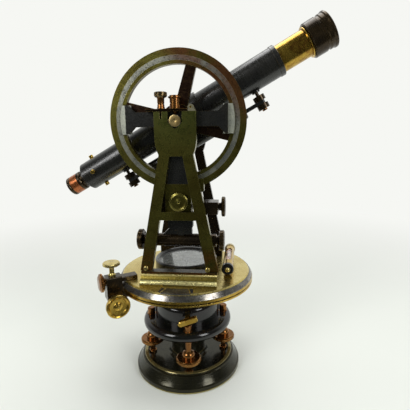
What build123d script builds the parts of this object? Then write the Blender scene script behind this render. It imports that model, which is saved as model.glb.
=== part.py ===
from build123d import *
import os
from math import atan, cos, pi, radians, sin, sqrt, tan

os.makedirs("parts", exist_ok=True)

# Theodolite, in millimetres. Origin: centre of the foot's underside. +Z is the vertical axis,
# +X is the way the objective points over the plate, and the trunnion lies along Y.

# Clearances
running_gap = 0.06
body_gap = 0.35
seat_gap = 0.1

# Foot: the lower parallel plate with its socket
foot_radius = 63.1
foot_lip_height = 6.0
shoulder_radius = 56.0
shoulder_height = 16.5
rim_radius = 54.0
rim_width = 4.0
rim_height = 19.0
floor_height = 14.0
tripod_thread_radius = 44.45
tripod_thread_depth = 8.5
ball_radius = 16.0
ball_rise = 21.0
socket_wall = 4.4
neck_radius = 12.5
retaining_ring_height = 8.0

# Levelling screws
screw_circle_radius = 44.0
first_screw_angle = -80.4
screw_radius = 3.6
screw_stem_radius = 3.0
screw_foot_depth = 1.4
cup_radius = 4.8
cup_height = 2.5
knob_radius = 14.0
knob_thickness = 5.0
knob_hub_radius = 6.2
knob_hub_height = 7.5
knob_lift = 12.5
bush_radius = 5.2
bush_cap_radius = 4.5
bush_cap_height = 7.5
bush_cap_wall = 1.6
screw_top_room = 2.0

# Upper parallel plate and the lower clamp
screw_span = 40.0
plate_radius = 53.0
plate_thickness = 12.0
plate_round = 5.6
bearing_boss_radius = 26.0
bearing_boss_height = 5.0
collar_radius = 38.5
collar_height = 24.0
collar_round = 6.5
clamp_height = 15.8
clamp_screw_radius = 3.0
clamp_bar_length = 22.0
clamp_bar_width = 6.0
clamp_bar_thickness = 5.0
clamp_bar_tilt = 17.0
clamp_screw_reach = 50.0

# Axes
axis_length = 76.0
outer_axis_top_radius = 13.0
outer_axis_end_radius = 8.4
inner_axis_top_radius = 7.5
inner_axis_end_radius = 5.0

# Limb
limb_standoff = 44.8
limb_radius = 78.5
limb_rim_width = 7.5
limb_rim_height = 6.4
limb_web_thickness = 3.6
limb_hub_radius = 29.4
groove_depth = 1.2
silver_ring_setback = 0.3
silver_ring_slope = 2.8
silver_ring_land = 0.35
silver_ring_height = 5.2

# Vernier plate
deck_thickness = 6.4
deck_bevel = 1.4
plate_vernier_length = 13.7
plate_vernier_depth = 1.0
plate_vernier_arc = 24.0

# Compass
compass_radius = 36.0
compass_height = 11.4
compass_wall = 2.0
compass_floor = 2.0
dial_ring_inner = 29.0
dial_ring_height = 7.6
bezel_height = 2.6
bezel_lip = 2.5
needle_length = 54.0
needle_width = 3.4
needle_thickness = 0.8
needle_angle = 20.0
pivot_radius = 1.0
pivot_height = 5.0
pivot_point = 1.6

# Plate level
plate_level_x = 51.0
plate_level_rise = 12.5
plate_level_length = 64.0
level_tube_radius = 5.8
level_tube_wall = 1.1
level_cap_radius = 6.5
level_cap_length = 5.0
level_window_width = 6.5
level_window_length = 40.0
level_post_width = 6.0

# Standards
standard_face = 47.8
standard_thickness = 6.5
trunnion_rise = 169.0
head_above_trunnion = 8.8
head_half_width = 20.9
shoulder_below_trunnion = 17.0
neck_below_trunnion = 33.0
neck_half_width = 17.4
leg_foot_half_width = 41.9
opening_below_trunnion = 34.4
opening_half_width = 6.6
leg_taper = 0.94
crossbar_rise = 69.0
crossbar_height = 8.5
shoe_height = 13.5
shoe_reach = 10.8
shoe_half_length = 40.6
trunnion_radius = 6.0
wye_half_width = 7.0
wye_flat = 1.2

# Bearing caps
cap_thickness = 2.4
cap_overhang = 8.0
hinge_x = 15.9
hinge_rise = 4.0
knuckle_radius = 2.5
knuckle_width = 3.0
hinge_pin_radius = 1.1
plunger_radius = 5.0
plunger_flange_radius = 6.5
plunger_height = 12.5
plunger_tip_radius = 2.6
thumb_x = 13.8
thumb_stem_radius = 3.5
thumb_head_radius = 6.4
thumb_stem_height = 10.4
thumb_head_height = 5.4
thumb_tip_radius = 2.2
thumb_tip_entry = 1.2
thumb_socket_radius = 3.4
thumb_socket_depth = 7.0

# Telescope, measured along its own line of sight from the trunnion
telescope_elevation = 29.4
sight_lift = 3.4
tube_radius = 16.0
tube_wall = 1.6
tube_front = 120.0
tube_back = 128.0
eye_boss_length = 3.0
eye_boss_radius = 12.8
centre_sleeve_radius = 18.4
centre_sleeve_half = 26.6
trunnion_boss_radius = 15.0
trunnion_boss_half = 21.5
arbor_radius = 9.0
shoulder_journal_radius = 8.0
trunnion_end_proud = 0.6
draw_back = 48.0
draw_front = 156.0
draw_wall = 3.0
cell_radius = 18.4
cell_flare_radius = 19.2
cell_length = 24.0
cell_overlap = 3.0
lens_radius = 14.6
lens_thickness = 3.0
lens_setback = 9.0
lens_bulge = 1.6
eyepiece_gap = 4.0
eyepiece_radius = 10.9
eyepiece_shell_length = 18.0
eyepiece_tube_radius = 9.4
eyepiece_tube_length = 16.0
eyepiece_bore = 7.0
eye_hole_radius = 4.0
eyepiece_lens_thickness = 2.4
diaphragm_place = 113.0
diaphragm_bore = 8.0
diaphragm_length = 5.0
diaphragm_screw_radius = 1.4
diaphragm_head_radius = 2.4
diaphragm_head_height = 2.8

# Rack and pinion for focusing
gear_module = 1.0
pinion_teeth = 8
pressure_angle = 30.0
tooth_addendum = 0.8
tooth_dedendum = 1.0
tooth_backlash = 0.24
rack_place = 62.0
rack_half_width = 3.0
rack_lift = 13.1
rack_gaps_ahead = 10
rack_gaps_behind = 3
pinion_shaft_radius = 1.6
pinion_face_half = 2.6
pinion_box_half = 6.6
pinion_box_wall = 1.6
pinion_cheek = 2.4
focus_knob_radius = 7.6
focus_knob_length = 6.5
focus_knob_y = 18.5

# Vertical circle
circle_radius = 70.0
circle_inner_radius = 55.0
circle_face = 34.1
circle_thickness = 6.0
circle_hub_radius = 17.0
spoke_width_rim = 10.6
spoke_width_hub = 12.6
spoke_recess = 0.8
silver_band_inner = 58.6
silver_band_outer = 63.3
silver_band_depth = 1.0

# Vernier frame of the vertical circle
frame_front = 40.9
frame_thickness = 4.3
frame_hub_radius = 11.0
frame_lift = 1.8
frame_arm_half = 7.3
frame_flare_half = 14.2
frame_flare_start = 42.0
frame_reach = 51.6
circle_vernier_inner = 51.6
circle_vernier_outer = 58.2
circle_vernier_half = 14.4
circle_vernier_thickness = 1.6
down_arm_half = 5.6
down_arm_foot_half = 11.2

# Clamp and slow motion of the vertical circle
clamp_block_half = 13.5
clamp_block_top = 63.2
clamp_block_bottom = 93.6
clamp_jaw_back = 22.0
clamp_slot_gap = 0.6
jaw_ear_reach = 27.0
jaw_ear_low = 71.0
jaw_ear_high = 57.5
circle_clamp_x = 1.5
circle_clamp_drop = 80.8
circle_clamp_head_radius = 9.6
circle_clamp_head_length = 4.0
circle_clamp_shank = 2.6
tail_half_width = 13.5
tail_depth = 21.0
tongue_half_width = 3.0
tongue_thickness = 7.0
tangent_drop = 88.5
tangent_y = 30.0
tangent_screw_radius = 2.6
tangent_knob_radius = 10.6
tangent_knob_length = 4.0
tangent_knob_x = 44.5
tangent_block_inner = 22.0
tangent_block_outer = 41.0
tangent_block_height = 13.0

# Clip screws
clip_drop = 126.0
clip_y = 29.5
sleeve_radius = 7.0
sleeve_half = 38.5
clip_screw_radius = 4.0
clip_knob_radius = 11.2
clip_knob_length = 6.0
clip_neck_radius = 5.0
clip_neck_length = 2.6
saddle_inner = 25.0
saddle_outer = 33.0
saddle_height = 9.0

# Telescope level
level_drop = 28.5
tube_level_half = 60.0
tube_level_radius = 6.5
tube_level_wall = 1.2
tube_window_length = 56.0
tube_window_width = 6.0
tube_level_cap_length = 5.0
tube_level_cap_radius = 7.2
level_stud_place = 84.0
level_stud_radius = 1.9
level_lug_thickness = 4.0
level_lug_width = 8.0
level_boss_radius = 4.4
level_boss_height = 1.4
capstan_radius = 6.4
capstan_height = 5.4
capstan_hole_radius = 0.8
capstan_hole_depth = 1.6

# Clamp and slow motion of the vernier plate
side_angle = -146.0
side_arm_reach = 17.3
side_arm_width = 11.0
side_arm_thickness = 5.0
side_block_gap = 0.8
side_block_depth = 16.7
side_block_width = 14.0
side_block_drop = 18.6
side_block_rise = 7.0
side_bore_floor = 6.0
nut_drop = 1.4
jaw_length = 7.3
jaw_thickness = 5.0
side_screw_radius = 2.6
radial_knob_radius = 10.0
radial_knob_length = 6.0
radial_screw_rise = 1.0
wing_setback = 9.2
wing_stem_height = 11.6
wing_head_radius = 9.2
wing_head_height = 3.6
nut_radius = 5.4
nut_length = 14.0
tangent_knob_offset = 20.0
dish_radius = 12.7
dish_length = 5.0
dish_depth = 2.2

# Heights that follow
ball_height = floor_height + ball_rise
plate_under = floor_height + screw_span
plate_top = plate_under + plate_thickness
collar_top = plate_top + collar_height
limb_under = plate_top + limb_standoff
limb_top = limb_under + limb_rim_height
deck_under = limb_top + body_gap
deck_top = deck_under + deck_thickness
axis_end = deck_top - axis_length
trunnion_height = deck_top + trunnion_rise
standard_top = trunnion_height + head_above_trunnion
shoe_top = deck_top + shoe_height
standard_back = standard_face - standard_thickness
draw_radius = tube_radius - tube_wall - running_gap

# Radii that follow from the limb
silver_ring_foot = limb_radius - silver_ring_setback
silver_ring_crown = silver_ring_foot - silver_ring_slope
silver_ring_bore = silver_ring_crown - silver_ring_land
deck_radius = silver_ring_bore - body_gap
plate_vernier_inner = deck_radius - plate_vernier_length
side_block_inner = limb_radius + side_block_gap
side_block_outer = side_block_inner + side_block_depth
side_arm_inner = side_block_inner - side_arm_reach
jaw_reach = side_block_inner - jaw_length
wing_place = side_block_inner + wing_setback

sight = Vector(cos(radians(telescope_elevation)), 0, sin(radians(telescope_elevation)))
sight_normal = Vector(-sight.Z, 0, sight.X)
trunnion_centre = Vector(0, 0, trunnion_height)
sight_centre = trunnion_centre + sight_normal * sight_lift
sight_axis = Axis(sight_centre, sight)
screw_angles = [first_screw_angle + 90 * turn for turn in range(4)]


def facing(y):
    """Upright plane at this Y, looking towards +Y: local x is X and local y is Z."""
    return Plane(origin=(0, y, 0), x_dir=(1, 0, 0), z_dir=(0, -1, 0))


def along_sight(y=0.0):
    """Upright plane at this Y, with local x along the line of sight."""
    return Plane(origin=(sight_centre.X, y, sight_centre.Z), x_dir=sight, z_dir=(0, -1, 0))


def across_sight(distance, offset=0.0):
    """Plane square to the line of sight, this far from the trunnion: local x is Y."""
    centre = sight_centre + sight * distance + sight_normal * offset
    return Plane(origin=centre, x_dir=(0, 1, 0), z_dir=sight)


def over_sight(distance, lift=0.0):
    """Plane along the line of sight, facing up from it: local x is the line of sight."""
    centre = sight_centre + sight * distance + sight_normal * lift
    return Plane(origin=centre, x_dir=sight, z_dir=sight_normal)


def radial(angle):
    """Upright plane through the vertical axis: local x is the radius and local y is Z."""
    a = radians(angle)
    return Plane(origin=(0, 0, 0), x_dir=(cos(a), sin(a), 0), z_dir=(sin(a), -cos(a), 0))


def outward(angle, radius, height):
    """Plane facing away from the vertical axis: local x is tangential and local y is Z."""
    a = radians(angle)
    return Plane(origin=(radius * cos(a), radius * sin(a), height), x_dir=(-sin(a), cos(a), 0),
                 z_dir=(cos(a), sin(a), 0))


def outer_axis_radius(height):
    share = (height - axis_end) / (limb_top - axis_end)
    return outer_axis_end_radius + share * (outer_axis_top_radius - outer_axis_end_radius)


def inner_axis_radius(height):
    share = (height - axis_end) / (deck_top - axis_end)
    return inner_axis_end_radius + share * (inner_axis_top_radius - inner_axis_end_radius)


def finish(builder, name):
    builder.part.label = name
    export_step(builder.part, f"parts/{name}.step")


# Foot: dished on top, with the ball socket at its centre and the tripod thread below
socket_radius = ball_radius + seat_gap
with BuildPart() as tripod_plate:
    with BuildSketch(Plane.XZ):
        with BuildLine():
            cove = 0.4 * (foot_radius - shoulder_radius)
            Polyline(
                (tripod_thread_radius, 0), (foot_radius - 1, 0), (foot_radius, 1),
                (foot_radius, foot_lip_height), (foot_radius - 1.6, foot_lip_height + 1.2))
            ThreePointArc(
                (foot_radius - 1.6, foot_lip_height + 1.2),
                (shoulder_radius + cove, (foot_lip_height + shoulder_height) / 2),
                (shoulder_radius, shoulder_height))
            Polyline(
                (shoulder_radius, shoulder_height), (shoulder_radius - 1.2, shoulder_height + 0.5),
                (rim_radius, shoulder_height + 0.5), (rim_radius, rim_height - 0.8),
                (rim_radius - 0.8, rim_height), (rim_radius - rim_width, rim_height),
                (rim_radius - rim_width - 1, floor_height), (socket_radius + socket_wall + 4, floor_height))
            RadiusArc(
                (socket_radius + socket_wall + 4, floor_height),
                (socket_radius + socket_wall, floor_height + 6), 8)
            Polyline(
                (socket_radius + socket_wall, floor_height + 6), (socket_radius + socket_wall, ball_height),
                (socket_radius, ball_height))
            ThreePointArc(
                (socket_radius, ball_height),
                (socket_radius * cos(pi / 4), ball_height - socket_radius * sin(pi / 4)),
                (0, ball_height - socket_radius))
            Polyline(
                (0, ball_height - socket_radius), (0, tripod_thread_depth),
                (tripod_thread_radius, tripod_thread_depth), (tripod_thread_radius, 0))
        make_face()
    revolve(axis=Axis.Z)
finish(tripod_plate, "tripod_plate")

# Ring screwed over the ball
ring_top = ball_height + retaining_ring_height
with BuildPart() as ball_retaining_ring:
    with BuildSketch(Plane.XZ):
        with BuildLine():
            lift = retaining_ring_height / 2
            ThreePointArc(
                (socket_radius, ball_height),
                (sqrt(socket_radius**2 - lift**2), ball_height + lift),
                (sqrt(socket_radius**2 - retaining_ring_height**2), ring_top))
            Polyline(
                (sqrt(socket_radius**2 - retaining_ring_height**2), ring_top),
                (socket_radius + socket_wall - 1.5, ring_top), (socket_radius + socket_wall, ring_top - 1.5),
                (socket_radius + socket_wall, ball_height), (socket_radius, ball_height))
        make_face()
    revolve(axis=Axis.Z)
finish(ball_retaining_ring, "ball_retaining_ring")

# Cups that the levelling screws stand in
cup_seat = screw_stem_radius + 0.4
with BuildPart() as foot_cups:
    with BuildSketch(Plane.XY.offset(floor_height)):
        with PolarLocations(screw_circle_radius, 4, start_angle=first_screw_angle):
            Circle(cup_radius)
    extrude(amount=cup_height)
    chamfer(foot_cups.edges().group_by(Axis.Z)[-1], 0.5)
    with BuildSketch(Plane.XY.offset(floor_height + cup_height)):
        with PolarLocations(screw_circle_radius, 4, start_angle=first_screw_angle):
            Circle(cup_seat)
    extrude(amount=-screw_foot_depth, mode=Mode.SUBTRACT)
finish(foot_cups, "foot_cups")

# Levelling screws, alike, each a piece of its own
screw_foot = floor_height + cup_height - screw_foot_depth + body_gap
knob_low = floor_height + cup_height + knob_lift
screw_head_room = plate_top + bush_cap_height - bush_cap_wall - screw_top_room
for name, angle in zip(("front", "right", "rear", "left"), screw_angles):
    with BuildPart() as levelling_screw:
        with BuildSketch(radial(angle)):
            with BuildLine():
                x = screw_circle_radius
                Polyline(
                    (x, screw_foot), (x + screw_stem_radius - 1, screw_foot),
                    (x + screw_stem_radius, screw_foot + 1), (x + screw_stem_radius, knob_low - 5),
                    (x + screw_stem_radius + 1.4, knob_low - 4),
                    (x + screw_stem_radius + 1.4, knob_low - 1.5),
                    (x + knob_hub_radius, knob_low), (x + knob_radius - 1.2, knob_low),
                    (x + knob_radius, knob_low + 1.2), (x + knob_radius, knob_low + knob_thickness - 1.2),
                    (x + knob_radius - 1.2, knob_low + knob_thickness),
                    (x + knob_hub_radius + 1, knob_low + knob_thickness - 1.2),
                    (x + knob_hub_radius, knob_low + knob_thickness - 0.6))
                ThreePointArc(
                    (x + knob_hub_radius, knob_low + knob_thickness - 0.6),
                    (x + knob_hub_radius - 0.6, knob_low + knob_thickness + knob_hub_height * 0.6),
                    (x + screw_radius, knob_low + knob_thickness + knob_hub_height))
                Polyline(
                    (x + screw_radius, knob_low + knob_thickness + knob_hub_height),
                    (x + screw_radius, screw_head_room - 0.8), (x + screw_radius - 0.8, screw_head_room),
                    (x, screw_head_room), (x, screw_foot))
            make_face()
        centre = Vector(x * cos(radians(angle)), x * sin(radians(angle)), 0)
        revolve(axis=Axis(centre, (0, 0, 1)))
    finish(levelling_screw, f"levelling_screw_{name}")

# Upper parallel plate with its ball, its neck and the long bearing for the axes
bore_bottom = axis_end - body_gap
boss_top = plate_top + bearing_boss_height
with BuildPart() as upper_parallel_plate:
    with BuildSketch(Plane.XZ):
        with BuildLine():
            neck_lift = sqrt(ball_radius**2 - neck_radius**2)
            Line((0, bore_bottom), (0, ball_height - ball_radius))
            ThreePointArc((0, ball_height - ball_radius), (ball_radius, ball_height),
                          (neck_radius, ball_height + neck_lift))
            Line((neck_radius, ball_height + neck_lift), (neck_radius, plate_under - 4))
            RadiusArc((neck_radius, plate_under - 4), (neck_radius + 4, plate_under), 4)
            Line((neck_radius + 4, plate_under), (plate_radius - plate_round, plate_under))
            ThreePointArc(
                (plate_radius - plate_round, plate_under), (plate_radius, plate_under + plate_thickness / 2),
                (plate_radius - plate_round, plate_top))
            Polyline(
                (plate_radius - plate_round, plate_top), (bearing_boss_radius, plate_top),
                (bearing_boss_radius, boss_top), (outer_axis_radius(boss_top) + running_gap, boss_top),
                (outer_axis_radius(bore_bottom) + running_gap, bore_bottom), (0, bore_bottom))
        make_face()
    revolve(axis=Axis.Z)
    with BuildSketch(Plane.XY.offset(plate_under)):
        with PolarLocations(screw_circle_radius, 4, start_angle=first_screw_angle):
            Circle(bush_radius)
    extrude(amount=plate_thickness, mode=Mode.SUBTRACT)
finish(upper_parallel_plate, "upper_parallel_plate")

# Threaded bushes with closed caps, in which the levelling screws rise
with BuildPart() as screw_bushes:
    with BuildSketch(Plane.XY.offset(plate_under)):
        with PolarLocations(screw_circle_radius, 4, start_angle=first_screw_angle):
            Circle(bush_radius)
    extrude(amount=plate_thickness)
    with BuildSketch(Plane.XY.offset(plate_top)):
        with PolarLocations(screw_circle_radius, 4, start_angle=first_screw_angle):
            Circle(bush_cap_radius)
    extrude(amount=bush_cap_height)
    fillet(screw_bushes.edges().group_by(Axis.Z)[-1], 1.2)
    with BuildSketch(Plane.XY.offset(plate_under)):
        with PolarLocations(screw_circle_radius, 4, start_angle=first_screw_angle):
            Circle(screw_radius + running_gap)
    extrude(amount=plate_thickness + bush_cap_height - bush_cap_wall, mode=Mode.SUBTRACT)
finish(screw_bushes, "screw_bushes")

# Lower clamp: a collar on the plate round the hub of the limb, closed by a T-headed screw
front_angle = first_screw_angle
clamp_screw_height = plate_top + clamp_height
with BuildPart() as lower_clamp_collar:
    with BuildSketch(Plane.XZ):
        with BuildLine():
            bore = limb_hub_radius + running_gap
            Polyline(
                (bore, plate_top), (collar_radius, plate_top), (collar_radius, collar_top - collar_round))
            ThreePointArc(
                (collar_radius, collar_top - collar_round),
                (collar_radius - 0.3 * collar_round, collar_top - 0.3 * collar_round),
                (collar_radius - collar_round, collar_top))
            Polyline((collar_radius - collar_round, collar_top), (bore, collar_top), (bore, plate_top))
        make_face()
    revolve(axis=Axis.Z)
    with BuildSketch(outward(front_angle, collar_radius - 3, clamp_screw_height)):
        Circle(clamp_screw_radius + 2.6)
    extrude(amount=6)
    with BuildSketch(outward(front_angle, 0, clamp_screw_height)):
        Circle(clamp_screw_radius + running_gap)
    extrude(amount=collar_radius + 10, mode=Mode.SUBTRACT)
finish(lower_clamp_collar, "lower_clamp_collar")

with BuildPart() as lower_clamp_screw:
    with BuildSketch(outward(front_angle, limb_hub_radius + body_gap, clamp_screw_height)):
        Circle(clamp_screw_radius)
    extrude(amount=clamp_screw_reach - limb_hub_radius - body_gap)
    with BuildSketch(outward(front_angle, clamp_screw_reach, clamp_screw_height)):
        SlotOverall(clamp_bar_length, clamp_bar_width, rotation=clamp_bar_tilt)
    extrude(amount=clamp_bar_thickness)
    chamfer(lower_clamp_screw.faces().sort_by(SortBy.AREA)[-2].edges(), 0.6)
finish(lower_clamp_screw, "lower_clamp_screw")

# Limb: bevelled and graduated ring on a dished plate, turning on the outer axis
hub_foot = boss_top + body_gap
web_under = limb_top - limb_web_thickness
with BuildPart() as limb_plate:
    with BuildSketch(Plane.XZ):
        with BuildLine():
            groove_height = limb_under + limb_rim_height * 0.45
            Polyline(
                (outer_axis_radius(hub_foot), hub_foot), (limb_hub_radius - 1, hub_foot),
                (limb_hub_radius, hub_foot + 1), (limb_hub_radius, web_under - 8))
            RadiusArc((limb_hub_radius, web_under - 8), (limb_hub_radius + 8, web_under), 8)
            Polyline(
                (limb_hub_radius + 8, web_under), (limb_radius - limb_rim_width - 2, web_under),
                (limb_radius - limb_rim_width, limb_under), (limb_radius - 0.6, limb_under),
                (limb_radius, limb_under + 0.6), (limb_radius, groove_height - 0.7),
                (limb_radius - groove_depth, groove_height), (limb_radius, groove_height + 0.9),
                (limb_radius, limb_top - 0.3), (limb_radius - 0.3, limb_top),
                (outer_axis_radius(limb_top), limb_top), (outer_axis_radius(hub_foot), hub_foot))
        make_face()
    revolve(axis=Axis.Z)
finish(limb_plate, "limb_plate")

with BuildPart() as limb_silver_ring:
    with BuildSketch(Plane.XZ):
        with BuildLine():
            Polyline(
                (silver_ring_bore, limb_top), (silver_ring_foot, limb_top),
                (silver_ring_foot, limb_top + 0.4),
                (silver_ring_crown, limb_top + silver_ring_height),
                (silver_ring_bore, limb_top + silver_ring_height), (silver_ring_bore, limb_top))
        make_face()
    revolve(axis=Axis.Z)
finish(limb_silver_ring, "limb_silver_ring")

with BuildPart() as outer_axis:
    with BuildSketch(Plane.XZ):
        with BuildLine():
            Polyline(
                (inner_axis_radius(axis_end) + running_gap, axis_end),
                (outer_axis_radius(axis_end), axis_end), (outer_axis_radius(limb_top), limb_top),
                (inner_axis_radius(limb_top) + running_gap, limb_top),
                (inner_axis_radius(axis_end) + running_gap, axis_end))
        make_face()
    revolve(axis=Axis.Z)
finish(outer_axis, "outer_axis")

# Vernier plate and its axis
with BuildPart() as inner_axis:
    with BuildSketch(Plane.XZ):
        with BuildLine():
            Polyline(
                (0, axis_end), (inner_axis_radius(axis_end), axis_end),
                (inner_axis_radius(deck_top), deck_top), (0, deck_top), (0, axis_end))
        make_face()
    revolve(axis=Axis.Z)
finish(inner_axis, "inner_axis")

with BuildPart() as vernier_plate:
    with BuildSketch(Plane.XZ):
        with BuildLine():
            Polyline(
                (inner_axis_radius(deck_under), deck_under), (deck_radius, deck_under),
                (deck_radius, deck_top - deck_bevel), (deck_radius - deck_bevel, deck_top),
                (inner_axis_radius(deck_top), deck_top), (inner_axis_radius(deck_under), deck_under))
        make_face()
    revolve(axis=Axis.Z)
    for side in (-90, 90):
        with BuildSketch(radial(side - plate_vernier_arc / 2)):
            with Locations(((plate_vernier_inner + deck_radius) / 2 + 2, deck_top)):
                Rectangle(deck_radius - plate_vernier_inner + 4, 2 * plate_vernier_depth)
        revolve(axis=Axis.Z, revolution_arc=plate_vernier_arc, mode=Mode.SUBTRACT)
finish(vernier_plate, "vernier_plate")

with BuildPart() as plate_verniers:
    for side in (-90, 90):
        with BuildSketch(radial(side - plate_vernier_arc / 2)):
            with BuildLine():
                Polyline(
                    (plate_vernier_inner, deck_top - plate_vernier_depth),
                    (deck_radius - deck_bevel + plate_vernier_depth, deck_top - plate_vernier_depth),
                    (deck_radius - deck_bevel, deck_top), (plate_vernier_inner, deck_top),
                    (plate_vernier_inner, deck_top - plate_vernier_depth))
            make_face()
        revolve(axis=Axis.Z, revolution_arc=plate_vernier_arc)
finish(plate_verniers, "plate_verniers")

# Compass between the standards
box_top = deck_top + compass_height
floor_top = deck_top + compass_floor
with BuildPart() as compass_box:
    with BuildSketch(Plane.XY.offset(deck_top)):
        Circle(compass_radius)
    extrude(amount=compass_height)
    with BuildSketch(Plane.XY.offset(floor_top)):
        Circle(compass_radius - compass_wall)
    extrude(amount=compass_height, mode=Mode.SUBTRACT)
    with BuildSketch(Plane.XZ):
        with BuildLine():
            Polyline(
                (0, deck_top + 1), (pivot_radius, deck_top + 1),
                (pivot_radius, floor_top + pivot_height - pivot_point), (0, floor_top + pivot_height),
                (0, deck_top + 1))
        make_face()
    revolve(axis=Axis.Z)
finish(compass_box, "compass_box")

dial_outer = compass_radius - compass_wall
with BuildPart() as compass_dial:
    with BuildSketch(Plane.XY.offset(floor_top)):
        Circle(dial_outer)
        Circle(dial_ring_inner, mode=Mode.SUBTRACT)
    extrude(amount=dial_ring_height)
finish(compass_dial, "compass_dial")

glass_under = floor_top + dial_ring_height
with BuildPart() as compass_glass:
    with BuildSketch(Plane.XY.offset(glass_under)):
        Circle(dial_outer)
    extrude(amount=box_top - glass_under)
finish(compass_glass, "compass_glass")

with BuildPart() as compass_bezel:
    with BuildSketch(Plane.XZ):
        with BuildLine():
            Polyline(
                (dial_outer - bezel_lip, box_top), (compass_radius + 0.4, box_top),
                (compass_radius + 0.4, box_top + bezel_height - 1.4),
                (compass_radius - 1, box_top + bezel_height),
                (dial_outer - bezel_lip + 1.6, box_top + bezel_height),
                (dial_outer - bezel_lip, box_top + 1), (dial_outer - bezel_lip, box_top))
        make_face()
    revolve(axis=Axis.Z)
finish(compass_bezel, "compass_bezel")

needle_under = floor_top + pivot_height - pivot_point
with BuildPart() as compass_needle:
    with BuildSketch(Plane.XY.offset(needle_under)):
        with BuildLine(Plane.XY.rotated((0, 0, needle_angle)).offset(needle_under)):
            Polyline((-needle_length / 2, 0), (0, -needle_width / 2), (needle_length / 2, 0),
                     (0, needle_width / 2), (-needle_length / 2, 0))
        make_face()
    extrude(amount=needle_thickness)
    with BuildSketch(Plane.XY.offset(needle_under)):
        Circle(2.4)
    extrude(amount=2.6)
    with BuildSketch(Plane.XY.offset(needle_under)):
        Circle(pivot_radius + running_gap)
    extrude(amount=pivot_point + seat_gap, mode=Mode.SUBTRACT)
finish(compass_needle, "compass_needle")

# Plate level on two posts at the right of the compass
level_height = deck_top + plate_level_rise
half_level = plate_level_length / 2
with BuildPart() as plate_level_tube:
    with BuildSketch(Plane(origin=(plate_level_x, -half_level, level_height), z_dir=(0, 1, 0))):
        Circle(level_tube_radius)
    extrude(amount=plate_level_length)
    with BuildSketch(Plane.XY.offset(deck_top)):
        with Locations((plate_level_x, -half_level + 8), (plate_level_x, half_level - 8)):
            Rectangle(level_post_width, level_post_width)
    extrude(amount=plate_level_rise)
    with BuildSketch(Plane.XY.offset(deck_top)):
        with Locations((plate_level_x, 0)):
            Rectangle(level_post_width + 3, plate_level_length - 4)
    extrude(amount=2)
    with BuildSketch(Plane(origin=(plate_level_x, -half_level, level_height), z_dir=(0, 1, 0))):
        Circle(level_tube_radius - level_tube_wall)
    extrude(amount=plate_level_length, mode=Mode.SUBTRACT)
    with BuildSketch(Plane.XY.offset(level_height)):
        with Locations((plate_level_x, 0)):
            SlotOverall(level_window_length, level_window_width, rotation=90)
    extrude(amount=level_tube_radius + 1, mode=Mode.SUBTRACT)
finish(plate_level_tube, "plate_level_tube")

with BuildPart() as plate_level_vial:
    with BuildSketch(Plane(origin=(plate_level_x, -half_level, level_height), z_dir=(0, 1, 0))):
        Circle(level_tube_radius - level_tube_wall)
    extrude(amount=plate_level_length)
finish(plate_level_vial, "plate_level_vial")

with BuildPart() as plate_level_caps:
    for end, way in ((-half_level, -1), (half_level, 1)):
        with BuildSketch(Plane(origin=(plate_level_x, end, level_height), z_dir=(0, way, 0))):
            Circle(level_cap_radius)
        extrude(amount=level_cap_length)
    chamfer(plate_level_caps.edges().group_by(Axis.Y)[0] + plate_level_caps.edges().group_by(Axis.Y)[-1], 1.0)
    for end, way in ((-half_level - level_cap_length, -1), (half_level + level_cap_length, 1)):
        with BuildSketch(Plane(origin=(plate_level_x, end, level_height), z_dir=(0, way, 0))):
            Circle(1.6)
        extrude(amount=-2, mode=Mode.SUBTRACT)
finish(plate_level_caps, "plate_level_caps")

# Standards: an A-frame with a V bearing, crossbar, moulded shoe and two hinge ears for its cap
crossbar_low = deck_top + crossbar_rise
leg_slope = (leg_foot_half_width - neck_half_width) / (trunnion_height - neck_below_trunnion - shoe_top)
opening_top = trunnion_height - opening_below_trunnion
wye_gap = (trunnion_radius + running_gap) * sqrt(2)
wye_bottom = trunnion_height - wye_gap + wye_flat
wye_corner = trunnion_height - wye_gap + wye_half_width
ear_gap = knuckle_width / 2 + body_gap
ear_radius = knuckle_radius + body_gap
hinge_height = standard_top + hinge_rise
shoe_face = -standard_face - shoe_reach


def opening_half(height):
    return opening_half_width + leg_slope * leg_taper * (opening_top - height)


def opening_outline(low, high):
    return [(-opening_half(low), low), (opening_half(low), low), (opening_half(high), high),
            (-opening_half(high), high), (-opening_half(low), low)]


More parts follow.
